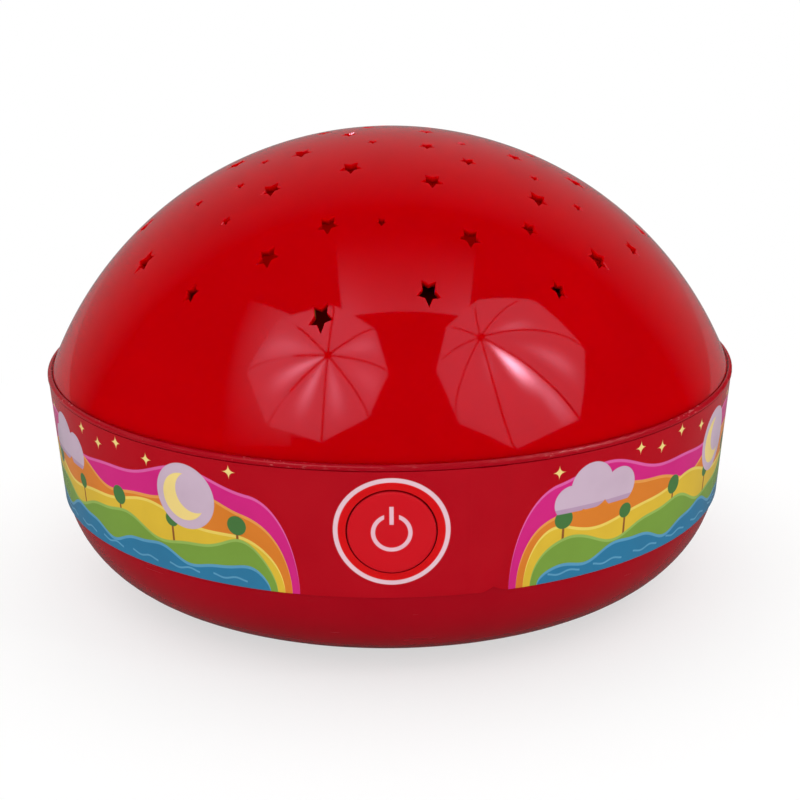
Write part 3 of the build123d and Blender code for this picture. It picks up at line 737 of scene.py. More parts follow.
@dataclass(frozen=True)
class ButtonPrint:
    """Printed button film: a pale power sign on red."""

    name: str
    middle: float
    ground: Colour = srgb(198, 12, 26)
    sign: Colour = srgb(226, 180, 192)
    ring_radius: float = 0.0040
    line: float = 0.0009
    bar_length: float = 0.0042
    opening_half: float = 0.0016
    ink_pitch: float = 0.006
    wave_pitch: float = 0.004
    wave_depth: float = 0.00001
    soft: float = 0.00008

    def material(self) -> bpy.types.Material:
        """Makes the material."""
        sheet = FinishSheet(self.name, Specular_IOR_Level=FILM_GLOSS, IOR=FILM_IOR)
        x, _, z = sheet.place()
        lift = z - self.middle
        ring = abs(x.away(lift, (0, 0)) - self.ring_radius).under(self.line / 2, self.soft)
        opening = abs(x).under(self.opening_half, self.soft) * lift.under(0.0, self.soft).flipped()
        bar = abs(x).under(self.line / 2, self.soft)
        bar = bar * abs(lift - self.ring_radius).under(self.bar_length / 2, self.soft)
        mask = (ring * opening.flipped()).most(bar)
        ink = sheet.noise(self.ink_pitch, detail=3.0)
        sheet.colour(sheet.paint(self.ground, self.sign, mask))
        sheet.roughness(ink * INK_SWING + FILM_ROUGHNESS)
        sheet.relief(sheet.noise(self.wave_pitch, detail=1.0), self.wave_depth)
        return sheet.material


class NodeGroup:
    """A Geometry Nodes tree under construction, with named inputs."""

    def __init__(self, name: str) -> None:
        """Starts a tree that takes and gives a mesh."""
        self.tree = bpy.data.node_groups.new(name, "GeometryNodeTree")
        self.tree.interface.new_socket("Mesh", in_out="INPUT", socket_type="NodeSocketGeometry")
        self.tree.interface.new_socket("Mesh", in_out="OUTPUT", socket_type="NodeSocketGeometry")
        self.entry = self.tree.nodes.new("NodeGroupInput")
        self.values: dict[str, object] = {}

    def named(self, name: str, value: object, kind: str = "Float") -> bpy.types.NodeSocket:
        """Adds a named input.

        Args:
            name: the input's name.
            value: what the piece sets it to.
            kind: the kind of socket.

        Returns:
            The socket that carries it in the tree.
        """
        item = self.tree.interface.new_socket(name, in_out="INPUT", socket_type=f"NodeSocket{kind}")
        self.values[item.identifier] = value
        return self.entry.outputs[name]

    def add(self, kind: str, inputs: dict[str | int, object], **settings: object) -> bpy.types.Node:
        """Adds a node.

        Args:
            kind: the node's type.
            inputs: what goes into its sockets, by name or number: sockets are linked, values are set.
            settings: the node's own options.

        Returns:
            The node.
        """
        node = self.tree.nodes.new(kind)
        for option, value in settings.items():
            setattr(node, option, value)
        for key, value in inputs.items():
            sources = value if isinstance(value, list) else [value]
            for source in sources:
                if isinstance(source, bpy.types.NodeSocket):
                    self.tree.links.new(source, node.inputs[key])
                else:
                    node.inputs[key].default_value = source
        return node

    def sum(self, operation: str, first: object, second: object) -> bpy.types.NodeSocket:
        """Arithmetic on two numbers."""
        return self.add("ShaderNodeMath", {0: first, 1: second}, operation=operation).outputs[0]

    def close(self, mesh: bpy.types.NodeSocket) -> None:
        """Links the finished mesh to the tree's output."""
        leave = self.tree.nodes.new("NodeGroupOutput")
        self.tree.links.new(mesh, leave.inputs[0])

    def run(self, piece: bpy.types.Object) -> None:
        """Runs the tree on a piece and leaves the result as its plain mesh."""
        modifier = piece.modifiers.new(self.tree.name, "NODES")
        modifier.node_group = self.tree
        for identifier, value in self.values.items():
            modifier[identifier] = value
        settle(piece)


def settle(piece: bpy.types.Object) -> None:
    """Turns a piece with modifiers into a plain mesh."""
    bpy.context.view_layer.update()
    depsgraph = bpy.context.evaluated_depsgraph_get()
    mesh = bpy.data.meshes.new_from_object(
        piece.evaluated_get(depsgraph), preserve_all_data_layers=True, depsgraph=depsgraph
    )
    piece.modifiers.clear()
    piece.data = mesh


def add_piece(name: str, shape: bmesh.types.BMesh) -> bpy.types.Object:
    """Turns a shape into an object in the scene.

    Args:
        name: the object's name.
        shape: its mesh, which is freed.

    Returns:
        The object.
    """
    mesh = bpy.data.meshes.new(name)
    shape.to_mesh(mesh)
    shape.free()
    piece = bpy.data.objects.new(name, mesh)
    bpy.context.collection.objects.link(piece)
    return piece


def drop(piece: bpy.types.Object) -> None:
    """Takes a helper object out of the scene."""
    bpy.data.objects.remove(piece, do_unlink=True)


def turned(outline: Iterable[Point], segments: int) -> bmesh.types.BMesh:
    """Turns an outline about the Z axis.

    Args:
        outline: radius and height of each point, from pole to pole with the wall on its right.
        segments: steps in a full turn.

    Returns:
        The closed shape.
    """
    shape = bmesh.new()
    rings = []
    for radius, height in outline:
        steps = segments if radius > WELD else 1
        angles = (2 * math.pi * step / steps for step in range(steps))
        rings.append([shape.verts.new((radius * math.cos(a), radius * math.sin(a), height)) for a in angles])
    for ring, following in zip(rings, rings[1:]):
        for step in range(segments):
            corners = (ring[step % len(ring)], ring[(step + 1) % segments % len(ring)])
            others = (following[(step + 1) % segments % len(following)], following[step % len(following)])
            shape.faces.new(list(dict.fromkeys(corners + others)))
    bmesh.ops.recalc_face_normals(shape, faces=shape.faces)
    return shape


def shade(mesh: bpy.types.Mesh, rule: Callable[[Vector], Vector | None]) -> None:
    """Gives smooth faces the exact normals of the surface they lie on, and leaves the rest flat.

    Args:
        mesh: the mesh.
        rule: gives the normal at a point of a smooth surface, or None off it.
    """
    known = [rule(vertex.co) for vertex in mesh.vertices]
    normals = [(0.0, 0.0, 0.0)] * len(mesh.loops)
    for polygon in mesh.polygons:
        exact = [known[index] for index in polygon.vertices]
        smooth = all(normal is not None for normal in exact)
        smooth = smooth and all(normal.dot(polygon.normal) > FLAT_TO_SMOOTH for normal in exact)
        for loop, normal in zip(polygon.loop_indices, exact):
            normals[loop] = tuple(normal) if smooth else tuple(polygon.normal)
    mesh.polygons.foreach_set("use_smooth", [True] * len(mesh.polygons))
    mesh.normals_split_custom_set(normals)


@dataclass
class StarDome:
    """The dome: a thin turned shell with eased star holes in three sizes, even when seen from above."""

    finish: bpy.types.Material
    base: "TaperedWall"
    wall: float = 0.0016
    spigot_depth: float = 0.0035
    segments: int = 288
    outer_rings: int = 110
    inner_rings: int = 56
    star_points: int = 5
    waist_share: float = 0.53
    star_spacing: float = 6.5
    star_depth: float = 0.004
    edge_ease: float = 0.00025
    ease_reach: float = 1.6
    lug_count: int = 4
    lug_radius: float = 0.0040
    lug_height: float = 0.0080
    lug_reach: float = 0.0060
    lug_steps: int = 16
    on_sphere: float = 8e-6
    stars: dict[StarSize, tuple[Point, ...]] = field(
        default_factory=lambda: {
            StarSize.LARGE: (
                (-87, 41), (-90, 24), (-45, 25), (-61, 15), (-19, 17), (18, 21), (-17, 31), (109, 25),
                (52, 29), (85, 30), (99, 38), (21, 34), (52, 42), (-65, 44), (-29, 38), (-13, 47), (8, 43),
            ),
            StarSize.MEDIUM: (
                (-114, 11), (-150, 6), (-174, 8), (99, 6), (144, 11), (36, 10), (124, 16), (45, 17), (78, 20),
                (39, 34), (86, 43), (68, 43), (-43, 46), (36, 45),
            ),
            StarSize.SMALL: (
                (-69, 32), (-49, 33), (-61, 26), (-72, 20), (-19, 7), (-2, 30), (69, 12), (97, 23), (64, 25),
                (64, 33),
            ),
        }
    )

    def __post_init__(self) -> None:
        """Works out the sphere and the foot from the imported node."""
        low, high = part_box("star_dome")
        self.crown = high.z
        self.foot_radius = high.x
        self.spigot_foot = low.z
        self.seat = low.z + self.spigot_depth
        rise = self.crown - self.seat
        self.radius = (rise**2 + self.foot_radius**2) / (2 * rise)
        self.centre = Vector((0, 0, self.crown - self.radius))
        self.inner_radius = self.radius - self.wall
        self.spigot_radius = self.base.bore(self.spigot_foot)
        self.spigot_inner = self.spigot_radius - self.wall

    def build(self) -> bpy.types.Object:
        """Makes the dome.

        Returns:
            The finished piece.
        """
        dome = add_piece("dome_shell", turned(self.outline(), self.segments))
        marks = self.star_marks()
        lug = self.lug()
        self.cutter_tree(marks, lug).run(dome)
        drop(marks)
        drop(lug)
        shade(dome.data, self.normal)
        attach(dome, Body.CASING.value)
        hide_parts("star_dome")
        return dome

    def outline(self) -> list[Point]:
        """Half section of the shell, from the crown outside to the crown inside."""
        outer_tilt = math.asin(self.foot_radius / self.radius)
        inner_tilt = math.asin(self.spigot_inner / self.inner_radius)

        def arc(radius: float, tilt: float, rings: int) -> list[Point]:
            """Points from the crown down to a tilt."""
            tilts = (tilt * step / rings for step in range(rings + 1))
            return [(radius * math.sin(t), self.centre.z + radius * math.cos(t)) for t in tilts]

        foot = [(self.spigot_radius, height) for height in (self.seat, self.spigot_foot)]
        foot.append((self.spigot_inner, self.spigot_foot))
        inside = arc(self.inner_radius, inner_tilt, self.inner_rings)
        return arc(self.radius, outer_tilt, self.outer_rings) + foot + inside[::-1]

    def direction(self, turn: float, tilt: float) -> Vector:
        """Outward direction at a turn from the front and a tilt from the crown, in degrees."""
        turn, tilt = math.radians(turn), math.radians(tilt)
        return Vector((math.sin(tilt) * math.sin(turn), -math.sin(tilt) * math.cos(turn), math.cos(tilt)))

    def placed_stars(self) -> list[tuple[StarSize, Vector]]:
        """Every star: the listed ones, then their copies on the far side wherever there is room.

        Returns:
            The size and outward direction of each star.
        """
        placed = [(size, self.direction(*place)) for size, places in self.stars.items() for place in places]
        room = math.radians(self.star_spacing)
        for size, places in self.stars.items():
            for turn, tilt in places:
                far = self.direction(turn + 180, tilt)
                if all(far.angle(taken) > room for _, taken in placed):
                    placed.append((size, far))
        return placed

    def star_marks(self) -> bpy.types.Object:
        """Points under the stars, level with the origin, that carry each star's size and direction."""
        placed = self.placed_stars()
        mesh = bpy.data.meshes.new("star_marks")
        mesh.from_pydata([(way.x * self.radius, way.y * self.radius, 0) for _, way in placed], [], [])
        tips = mesh.attributes.new("tip_radius", "FLOAT", "POINT")
        ways = mesh.attributes.new("direction", "FLOAT_VECTOR", "POINT")
        for index, (size, way) in enumerate(placed):
            tips.data[index].value = size.value
            ways.data[index].vector = way
        marks = bpy.data.objects.new("star_marks", mesh)
        bpy.context.collection.objects.link(marks)
        return marks

    def lug(self) -> bpy.types.Object:
        """One screw lug, which stands inside the foot of the dome at the +X side."""
        shape = bmesh.new()
        wall_middle = self.spigot_radius - self.wall / 2
        axis = self.spigot_inner - self.lug_reach
        angles = (math.pi / 2 + math.pi * step / self.lug_steps for step in range(self.lug_steps + 1))
        rim = [(axis + self.lug_radius * math.cos(a), self.lug_radius * math.sin(a)) for a in angles]
        rim += [(wall_middle, -self.lug_radius), (wall_middle, self.lug_radius)]
        foot = shape.faces.new([shape.verts.new((x, y, self.spigot_foot)) for x, y in rim])
        top = bmesh.ops.extrude_face_region(shape, geom=[foot])["geom"]
        rise = [item for item in top if isinstance(item, bmesh.types.BMVert)]
        bmesh.ops.translate(shape, verts=rise, vec=(0, 0, self.lug_height))
        bmesh.ops.recalc_face_normals(shape, faces=shape.faces)
        return add_piece("lug", shape)

    def cutter_tree(self, marks: bpy.types.Object, lug: bpy.types.Object) -> NodeGroup:
        """Builds the tree that adds the lugs and cuts the star holes.

        Args:
            marks: the points that carry the stars.
            lug: one lug in place.

        Returns:
            The tree, ready to run on the shell.
        """
        group = NodeGroup("star_holes")
        dome_radius = group.named("Dome Radius", self.radius)
        dome_middle = group.named("Dome Middle", self.centre.z)
        ease = group.named("Edge Ease", self.edge_ease)
        depth = group.named("Star Depth", self.star_depth)
        points = group.named("Star Points", self.star_points, "Int")
        waist = group.named("Waist Share", self.waist_share)
        count = group.named("Lug Count", self.lug_count, "Int")
        marks_source = group.named("Star Marks", marks, "Object")
        lug_source = group.named("Lug", lug, "Object")
        finish = group.named("Finish", self.finish, "Material")
        mark_points = group.add("GeometryNodeObjectInfo", {"Object": marks_source}).outputs["Geometry"]
        tip = group.add("GeometryNodeInputNamedAttribute", {"Name": "tip_radius"}, data_type="FLOAT")
        cutters = []
        for size in StarSize:
            radius = group.named(f"{size.name.title()} Star", size.value)
            chosen = group.add(
                "FunctionNodeCompare",
                {"A": tip.outputs[0], "B": radius, "Epsilon": WELD},
                data_type="FLOAT",
                operation="EQUAL",
            )
            spread = group.add(
                "GeometryNodeInstanceOnPoints",
                {
                    "Points": mark_points,
                    "Selection": chosen.outputs[0],
                    "Instance": self.cutter(group, radius, waist, points, depth, ease),
                },
            )
            cutters.append(self.lifted(group, spread.outputs[0], dome_radius, dome_middle))
        lug_ring = self.lug_ring(group, lug_source, count)
        whole = group.add(
            "GeometryNodeMeshBoolean",
            {"Mesh 2": [group.entry.outputs["Mesh"], lug_ring]},
            operation="UNION",
            solver="MANIFOLD",
        )
        cut = group.add(
            "GeometryNodeMeshBoolean",
            {"Mesh 1": whole.outputs[0], "Mesh 2": cutters},
            operation="DIFFERENCE",
            solver="MANIFOLD",
        )
        real = group.add("GeometryNodeRealizeInstances", {"Geometry": cut.outputs[0]})
        done = group.add("GeometryNodeSetMaterial", {"Geometry": real.outputs[0], "Material": finish})
        group.close(done.outputs[0])
        return group

    def lifted(
        self,
        group: NodeGroup,
        stars: bpy.types.NodeSocket,
        radius: bpy.types.NodeSocket,
        middle: bpy.types.NodeSocket,
    ) -> bpy.types.NodeSocket:
        """Raises star cutters to the dome, where each follows the slope and cuts square to the wall.

        Args:
            group: the tree.
            stars: cutters level with the origin.
            radius: the dome's outer radius.
            middle: the height of its middle.

        Returns:
            The raised cutters.
        """
        real = group.add("GeometryNodeRealizeInstances", {"Geometry": stars})
        place = group.add("GeometryNodeInputPosition", {}).outputs[0]
        parts = group.add("ShaderNodeSeparateXYZ", {0: place})
        squares = [group.sum("MULTIPLY", parts.outputs[axis], parts.outputs[axis]) for axis in range(2)]
        left = group.sum("SUBTRACT", group.sum("MULTIPLY", radius, radius), group.sum("ADD", *squares))
        rise = group.sum("ADD", group.sum("POWER", left, 0.5), middle)
        spot = group.add("ShaderNodeCombineXYZ", {"X": parts.outputs[0], "Y": parts.outputs[1], "Z": rise})
        way = group.add("GeometryNodeInputNamedAttribute", {"Name": "direction"}, data_type="FLOAT_VECTOR")
        level = parts.outputs[2]
        out = group.add("ShaderNodeVectorMath", {0: way.outputs[0], "Scale": level}, operation="SCALE")
        whole = group.add("ShaderNodeVectorMath", {0: spot.outputs[0], 1: out.outputs[0]})
        raised = group.add(
            "GeometryNodeSetPosition", {"Geometry": real.outputs[0], "Position": whole.outputs[0]}
        )
        return raised.outputs[0]

    def lug_ring(
        self, group: NodeGroup, lug: bpy.types.NodeSocket, count: bpy.types.NodeSocket
    ) -> bpy.types.NodeSocket:
        """Sets copies of the lug evenly round the axis.

        Args:
            group: the tree.
            lug: the lug's object.
            count: how many there are.

        Returns:
            The lugs.
        """
        shape = group.add("GeometryNodeObjectInfo", {"Object": lug}).outputs["Geometry"]
        places = group.add("GeometryNodePoints", {"Count": count, "Position": (0, 0, 0)}).outputs[0]
        number = group.add("GeometryNodeInputIndex", {}).outputs[0]
        turn = group.sum("MULTIPLY", group.sum("DIVIDE", number, count), 2 * math.pi)
        about = group.add("ShaderNodeCombineXYZ", {"Z": turn}).outputs[0]
        ring = group.add(
            "GeometryNodeInstanceOnPoints", {"Points": places, "Instance": shape, "Rotation": about}
        )
        return group.add("GeometryNodeRealizeInstances", {"Geometry": ring.outputs[0]}).outputs[0]

    def cutter(
        self,
        group: NodeGroup,
        radius: bpy.types.NodeSocket,
        waist: bpy.types.NodeSocket,
        points: bpy.types.NodeSocket,
        depth: bpy.types.NodeSocket,
        ease: bpy.types.NodeSocket,
    ) -> bpy.types.NodeSocket:
        """Makes one star cutter, which widens where it leaves the dome so that the hole's edge is eased.

        Args:
            group: the tree.
            radius: the star's tip radius.
            waist: the waist's share of the tip radius.
            points: how many points the star has.
            depth: how far it reaches into the dome.
            ease: the width of the eased edge.

        Returns:
            The cutter, with its outward direction along Z.
        """
        inner = group.sum("MULTIPLY", radius, waist)
        star = group.add(
            "GeometryNodeCurveStar", {"Points": points, "Inner Radius": inner, "Outer Radius": radius}
        )
        flat = group.add("GeometryNodeFillCurve", {0: star.outputs[0]}, mode="NGONS")
        sink = group.add("ShaderNodeCombineXYZ", {"Z": group.sum("MULTIPLY", depth, -1.0)})
        base = group.add(
            "GeometryNodeTransform",
            {"Geometry": flat.outputs[0], "Translation": sink.outputs[0], "Rotation": (0, 0, -math.pi / 2)},
        )
        length = group.sum("SUBTRACT", depth, ease)
        shank = group.add(
            "GeometryNodeExtrudeMesh",
            {"Mesh": base.outputs[0], "Offset Scale": length, "Individual": False},
        )
        reach = group.sum("MULTIPLY", ease, self.ease_reach)
        flare = group.add(
            "GeometryNodeExtrudeMesh",
            {
                "Mesh": shank.outputs[0],
                "Selection": shank.outputs["Top"],
                "Offset Scale": reach,
                "Individual": False,
            },
        )
        widen = group.sum("DIVIDE", group.sum("ADD", radius, reach), radius)
        spread = group.add(
            "GeometryNodeScaleElements",
            {"Geometry": flare.outputs[0], "Selection": flare.outputs["Top"], "Scale": widen},
        )
        under = group.add("GeometryNodeFlipFaces", {"Mesh": base.outputs[0]})
        both = group.add("GeometryNodeJoinGeometry", {"Geometry": [spread.outputs[0], under.outputs[0]]})
        whole = group.add("GeometryNodeMergeByDistance", {"Geometry": both.outputs[0], "Distance": WELD})
        return whole.outputs[0]

    def normal(self, place: Vector) -> Vector | None:
        """Normal of the outer or inner sphere at a point on it."""
        ray = place - self.centre
        if abs(ray.length - self.radius) < self.on_sphere and place.z > self.seat - self.on_sphere:
            return ray.normalized()
        if abs(ray.length - self.inner_radius) < self.on_sphere:
            return -ray.normalized()
        return None


@dataclass
class TaperedWall:
    """The straight tapered wall of the base, which the dome, the label and the button film follow."""

    lip_height: float = 0.0012
    lip_overhang: float = 0.0005
    taper_degrees: float = 4.6
    thickness: float = 0.0022
    fit: float = 0.00025

    def __post_init__(self) -> None:
        """Takes the wall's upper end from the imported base."""
        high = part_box("base_bowl")[1]
        self.top = high.z - self.lip_height
        self.top_radius = high.x - self.lip_overhang

    def bore(self, height: float) -> float:
        """Radius of what fits inside the wall at a height."""
        return self.radius(height) - self.thickness / math.cos(math.radians(self.taper_degrees)) - self.fit

    @property
    def slope(self) -> float:
        """How much the radius falls for each metre down."""
        return math.tan(math.radians(self.taper_degrees))

    def radius(self, height: float) -> float:
        """Radius of the wall at a height."""
        return self.top_radius - (self.top - height) * self.slope

    def normal(self, place: Vector) -> Vector:
        """Outward normal of the wall beside a point."""
        outward = Vector((place.x, place.y, 0)).normalized()
        return (outward - Vector((0, 0, self.slope))).normalized()

    def point(self, turn: float, height: float, shift: float) -> Vector:
        """Point off the wall at a turn from the front in radians."""
        reach = self.radius(height) + shift
        return Vector((reach * math.sin(turn), -reach * math.cos(turn), height))

    def ahead(self, x: float, height: float, shift: float) -> Vector:
        """Point off the front of the wall at a given X."""
        reach = self.radius(height) + shift
        return Vector((x, -math.sqrt(reach**2 - x**2), height))


@dataclass
class WrapLabel:
    """The label: one strip of film round the wall, whose badge end laps over its other end."""

    wall: TaperedWall
    film: float = 0.00025
    glue: float = 0.00005
    seam_degrees: float = 17.0
    lap: float = 0.0045
    lap_rise: float = 0.00026
    lap_ramp: float = 0.0035
    corner: float = 0.0060
    button_gap: float = 0.00045
    hole_segments: int = 128
    hole_length: float = 0.04
    on_wall: float = 3e-6
    columns: int = 560
    end_columns: int = 24
    rows: int = 24

    def __post_init__(self) -> None:
        """Takes the label's height and the button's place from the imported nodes."""
        low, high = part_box("button_film")
        self.button_height = (low.z + high.z) / 2
        self.button_hole = (high.x - low.x) / 2 + self.button_gap
        low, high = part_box("wrap_label")
        self.bottom = low.z
        self.top = high.z
        self.mean_radius = self.wall.radius((self.bottom + self.top) / 2)
        self.circumference = 2 * math.pi * self.mean_radius
        self.end = math.radians(self.seam_degrees) * self.mean_radius
        self.span = self.circumference + self.lap

    def build(self) -> bpy.types.Object:
        """Makes the label.

        Returns:
            The finished piece.
        """
        label = add_piece("label_band", self.strip())
        hole = self.hole()
        cut = label.modifiers.new("button_hole", "BOOLEAN")
        cut.object = hole
        cut.solver = "EXACT"
        settle(label)
        drop(hole)
        shade(label.data, self.normal)
        finish = LabelPrint(
            "printed_label_film",
            self.circumference,
            self.span,
            self.end,
            self.top - self.bottom,
            self.button_height - self.bottom,
        )
        label.data.materials.clear()
        label.data.materials.append(finish.material())
        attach(label, Body.CASING.value)
        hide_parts("wrap_label")
        return label

    def stations(self) -> list[float]:
        """Distances along the strip from its lapped-under end, closer together at the ends."""
        near = [self.corner * step / self.end_columns for step in range(self.end_columns)]
        inner = self.span - 2 * self.corner
        middle = [self.corner + inner * step / self.columns for step in range(self.columns + 1)]
        return near + middle + [self.span - distance for distance in reversed(near)]

    def strip(self) -> bmesh.types.BMesh:
        """The strip with its thickness and UV map, before the button hole is cut."""
        shape = bmesh.new()
        layer = shape.loops.layers.uv.new("label_map")
        flat = {}
        faces = []
        for shift in (self.glue, self.glue + self.film):
            side = []
            for station in self.stations():
                column = []
                for row in range(self.rows + 1):
                    column.append(self.vertex(shape, station, row / self.rows, shift, flat))
                side.append(column)
            faces.append(side)
        inner, outer = faces
        last = len(inner) - 1
        for k in range(last):
            for row in range(self.rows):
                shape.faces.new((outer[k][row], outer[k + 1][row], outer[k + 1][row + 1], outer[k][row + 1]))
                shape.faces.new((inner[k][row], inner[k][row + 1], inner[k + 1][row + 1], inner[k + 1][row]))
            shape.faces.new((inner[k][0], inner[k + 1][0], outer[k + 1][0], outer[k][0]))
            top = self.rows
            shape.faces.new((outer[k][top], outer[k + 1][top], inner[k + 1][top], inner[k][top]))
        for row in range(self.rows):
            shape.faces.new((inner[0][row], outer[0][row], outer[0][row + 1], inner[0][row + 1]))
            shape.faces.new((outer[last][row], inner[last][row], inner[last][row + 1], outer[last][row + 1]))
        bmesh.ops.recalc_face_normals(shape, faces=shape.faces)
        for face in shape.faces:
            for loop in face.loops:
                loop[layer].uv = flat[loop.vert]
        return shape

    def vertex(
        self,
        shape: bmesh.types.BMesh,
        station: float,
        share: float,
        shift: float,
        flat: dict[bmesh.types.BMVert, Point],
    ) -> bmesh.types.BMVert:
        """Adds one corner of the strip.

        Args:
            shape: the strip.
            station: distance along the strip.
            share: place between its lower edge, 0, and its upper edge, 1.
            shift: distance from the wall.
            flat: keeps the corner's place on the flat label, from 0 to 1 each way.

        Returns:
            The corner.
        """
        from_end = self.span - station
        nearest = min(from_end, station, self.corner)
        lift = self.corner - math.sqrt(max(0.0, self.corner**2 - (self.corner - nearest) ** 2))
        height = self.bottom + lift + (self.top - self.bottom - lift) * share
        climb = min(1.0, max(0.0, (self.lap + self.lap_ramp - from_end) / self.lap_ramp))
        climb = climb * climb * (3 - 2 * climb)
        turn = (self.end - from_end) / self.mean_radius
        vertex = shape.verts.new(self.wall.point(turn, height, shift + self.lap_rise * climb))
        flat[vertex] = (station / self.span, (height - self.bottom) / (self.top - self.bottom))
        return vertex

    def hole(self) -> bpy.types.Object:
        """The cutter for the button hole, a round bar along Y."""
        shape = bmesh.new()
        reach = Matrix.Translation((0, -self.wall.top_radius, self.button_height))
        bmesh.ops.create_cone(
            shape,
            cap_ends=True,
            segments=self.hole_segments,
            radius1=self.button_hole,
            radius2=self.button_hole,
            depth=self.hole_length,
            matrix=reach @ Matrix.Rotation(math.pi / 2, 4, "X"),
        )
        return add_piece("button_hole", shape)

    def normal(self, place: Vector) -> Vector | None:
        """Normal of the label's outer face at a point on it, where it lies flat on the wall."""
        shift = math.hypot(place.x, place.y) - self.wall.radius(place.z)
        if abs(shift - self.glue - self.film) < self.on_wall:
            return self.wall.normal(place)
        return None


@dataclass
class ButtonFilm:
    """The disc of printed film on the push button, with a rounded edge."""

    wall: TaperedWall
    back_shift: float = 0.00055
    front_shift: float = 0.00075
    edge: float = 0.0009
    edge_share: float = 0.9
    rings: int = 20
    edge_rings: int = 8
    segments: int = 128

    def __post_init__(self) -> None:
        """Takes the film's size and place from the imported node."""
        low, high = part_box("button_film")
        self.radius = (high.x - low.x) / 2
        self.height = (low.z + high.z) / 2

    def build(self) -> bpy.types.Object:
        """Makes the film.

        Returns:
            The finished piece.
        """
        shape = bmesh.new()
        rings = [[shape.verts.new(self.wall.ahead(0, self.height, self.front_shift))]]
        for radius, shift in self.section():
            angles = (2 * math.pi * step / self.segments for step in range(self.segments))
            spots = [(radius * math.cos(a), self.height + radius * math.sin(a)) for a in angles]
            rings.append([shape.verts.new(self.wall.ahead(x, z, shift)) for x, z in spots])
        for ring, following in zip(rings, rings[1:]):
            for k in range(self.segments):
                after = (k + 1) % self.segments
                corners = [ring[k % len(ring)], ring[after % len(ring)], following[after], following[k]]
                shape.faces.new(list(dict.fromkeys(corners)))
        shape.faces.new(rings[-1])
        bmesh.ops.recalc_face_normals(shape, faces=shape.faces)
        for face in shape.faces:
            face.smooth = len(face.verts) < self.segments
        film = add_piece("button_disc", shape)
        film.data.materials.append(ButtonPrint("printed_button_film", self.height).material())
        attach(film, Body.BUTTON.value)
        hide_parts("button_film")
        return film

    def section(self) -> list[Point]:
        """Radius and distance from the wall of each ring, from the middle out and round the edge."""
        flat = self.radius - self.edge
        points = [(flat * step / self.rings, self.front_shift) for step in range(1, self.rings + 1)]
        drop_depth = self.front_shift - self.back_shift
        for step in range(1, self.edge_rings + 1):
            angle = math.pi / 2 * step / self.edge_rings
            fall = drop_depth * (1 - math.cos(angle)) * self.edge_share
            points.append((flat + self.edge * math.sin(angle), self.front_shift - fall))
        return points + [(self.radius, self.back_shift)]


@dataclass
class Casing:
    """The carried-over solids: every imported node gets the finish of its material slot."""

    finishes: tuple[object, ...] = (
        MouldedPlastic(
            "dome_plastic",
            srgb(193, 0, 8),
            0.045,
            gloss=0.78,
            wave_depth=6e-6,
            hairline_share=0.04,
            sheen=(1.0, 0.50, 0.68),
            translucency=1.0,
        ),
        # The base's pale scuffs along the top of the lip are partly wear and partly a painted highlight.
        MouldedPlastic(
            "base_plastic", srgb(165, 0, 21), 0.17, gloss=0.4, grain_below=0.0022, scuff_highlight_above=0.0530
        ),
        MouldedPlastic("label_vinyl", srgb(186, 4, 30), 0.2),
        MouldedPlastic("button_plastic", srgb(186, 6, 24), 0.2),
        MouldedPlastic("button_vinyl", srgb(186, 6, 30), 0.2),
        MouldedPlastic("dark_plastic", srgb(38, 38, 40), 0.38),
        MouldedPlastic("white_plastic", srgb(224, 222, 214), 0.34),
        MouldedPlastic("deck_plastic", srgb(36, 34, 36), 0.4),
        SolderMask("circuit_board", srgb(30, 104, 62), srgb(58, 136, 84), srgb(196, 190, 170)),
        BareMetal("capacitor_can", srgb(205, 207, 210), 0.30),
        TintedResin("led_lens_red", srgb(205, 45, 45)),
        TintedResin("led_lens_green", srgb(50, 180, 80)),
        TintedResin("led_lens_blue", srgb(50, 80, 205)),
        BareMetal("screw_steel", srgb(195, 195, 198), 0.28),
        BareMetal("contact_nickel", srgb(216, 214, 208), 0.20),
        CellSleeve("cell_sleeve", srgb(62, 68, 78), srgb(190, 186, 170), 0.014, 0.024),
        SoftSkin("lead_red", srgb(185, 40, 40), 0.45),
        SoftSkin("lead_black", srgb(38, 38, 38), 0.45),
        SoftSkin("foot_rubber", srgb(48, 48, 48), 0.75),
    )

    def dress(self) -> dict[str, bpy.types.Material]:
        """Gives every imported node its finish.

        Returns:
            The material of each slot.
        """
        materials = {finish.name: finish.material() for finish in self.finishes}
        for name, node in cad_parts.items():
            slot = node.material_slots[0].material.name.split(".")[0]
            node.material_slots[0].material = materials[slot]
            log.info("%s dressed as %s", name, slot)
        return materials


@dataclass(frozen=True)
class Fold:
    """A bright fold in an umbrella's cloth, by its angle and its share of the way from hub to rim."""

    angle: float
    spread: float
    share: float
    reach: float
    peak: float

    def glow(self, angle: float, share: float) -> float:
        """Light that the fold adds at an angle and a share of the way out."""
        turn = (angle - self.angle + 180) % 360 - 180
        return self.peak * math.exp(-((turn / self.spread) ** 2) - ((share - self.share) / self.reach) ** 2)


def lit_grid(
    shape: bmesh.types.BMesh, columns: int, rows: int, corner: Callable[[float, float], tuple[Vector, float]]
) -> None:
    """Adds a grid of lit faces to a shape.

    Args:
        shape: the lit shape, whose corners carry their light as "glow".
        columns: faces one way.
        rows: faces the other way.
        corner: gives the place and the light at a share of each way.
    """
    layer = shape.verts.layers.float.get("glow") or shape.verts.layers.float.new("glow")
    grid = []
    for row in range(rows + 1):
        line = []
        for column in range(columns + 1):
            place, glow = corner(column / columns, row / rows)
            vertex = shape.verts.new(place)
            vertex[layer] = glow
            line.append(vertex)
        grid.append(line)
    for line, following in zip(grid, grid[1:]):
        for k in range(columns):
            shape.faces.new((line[k], line[k + 1], following[k + 1], following[k]))


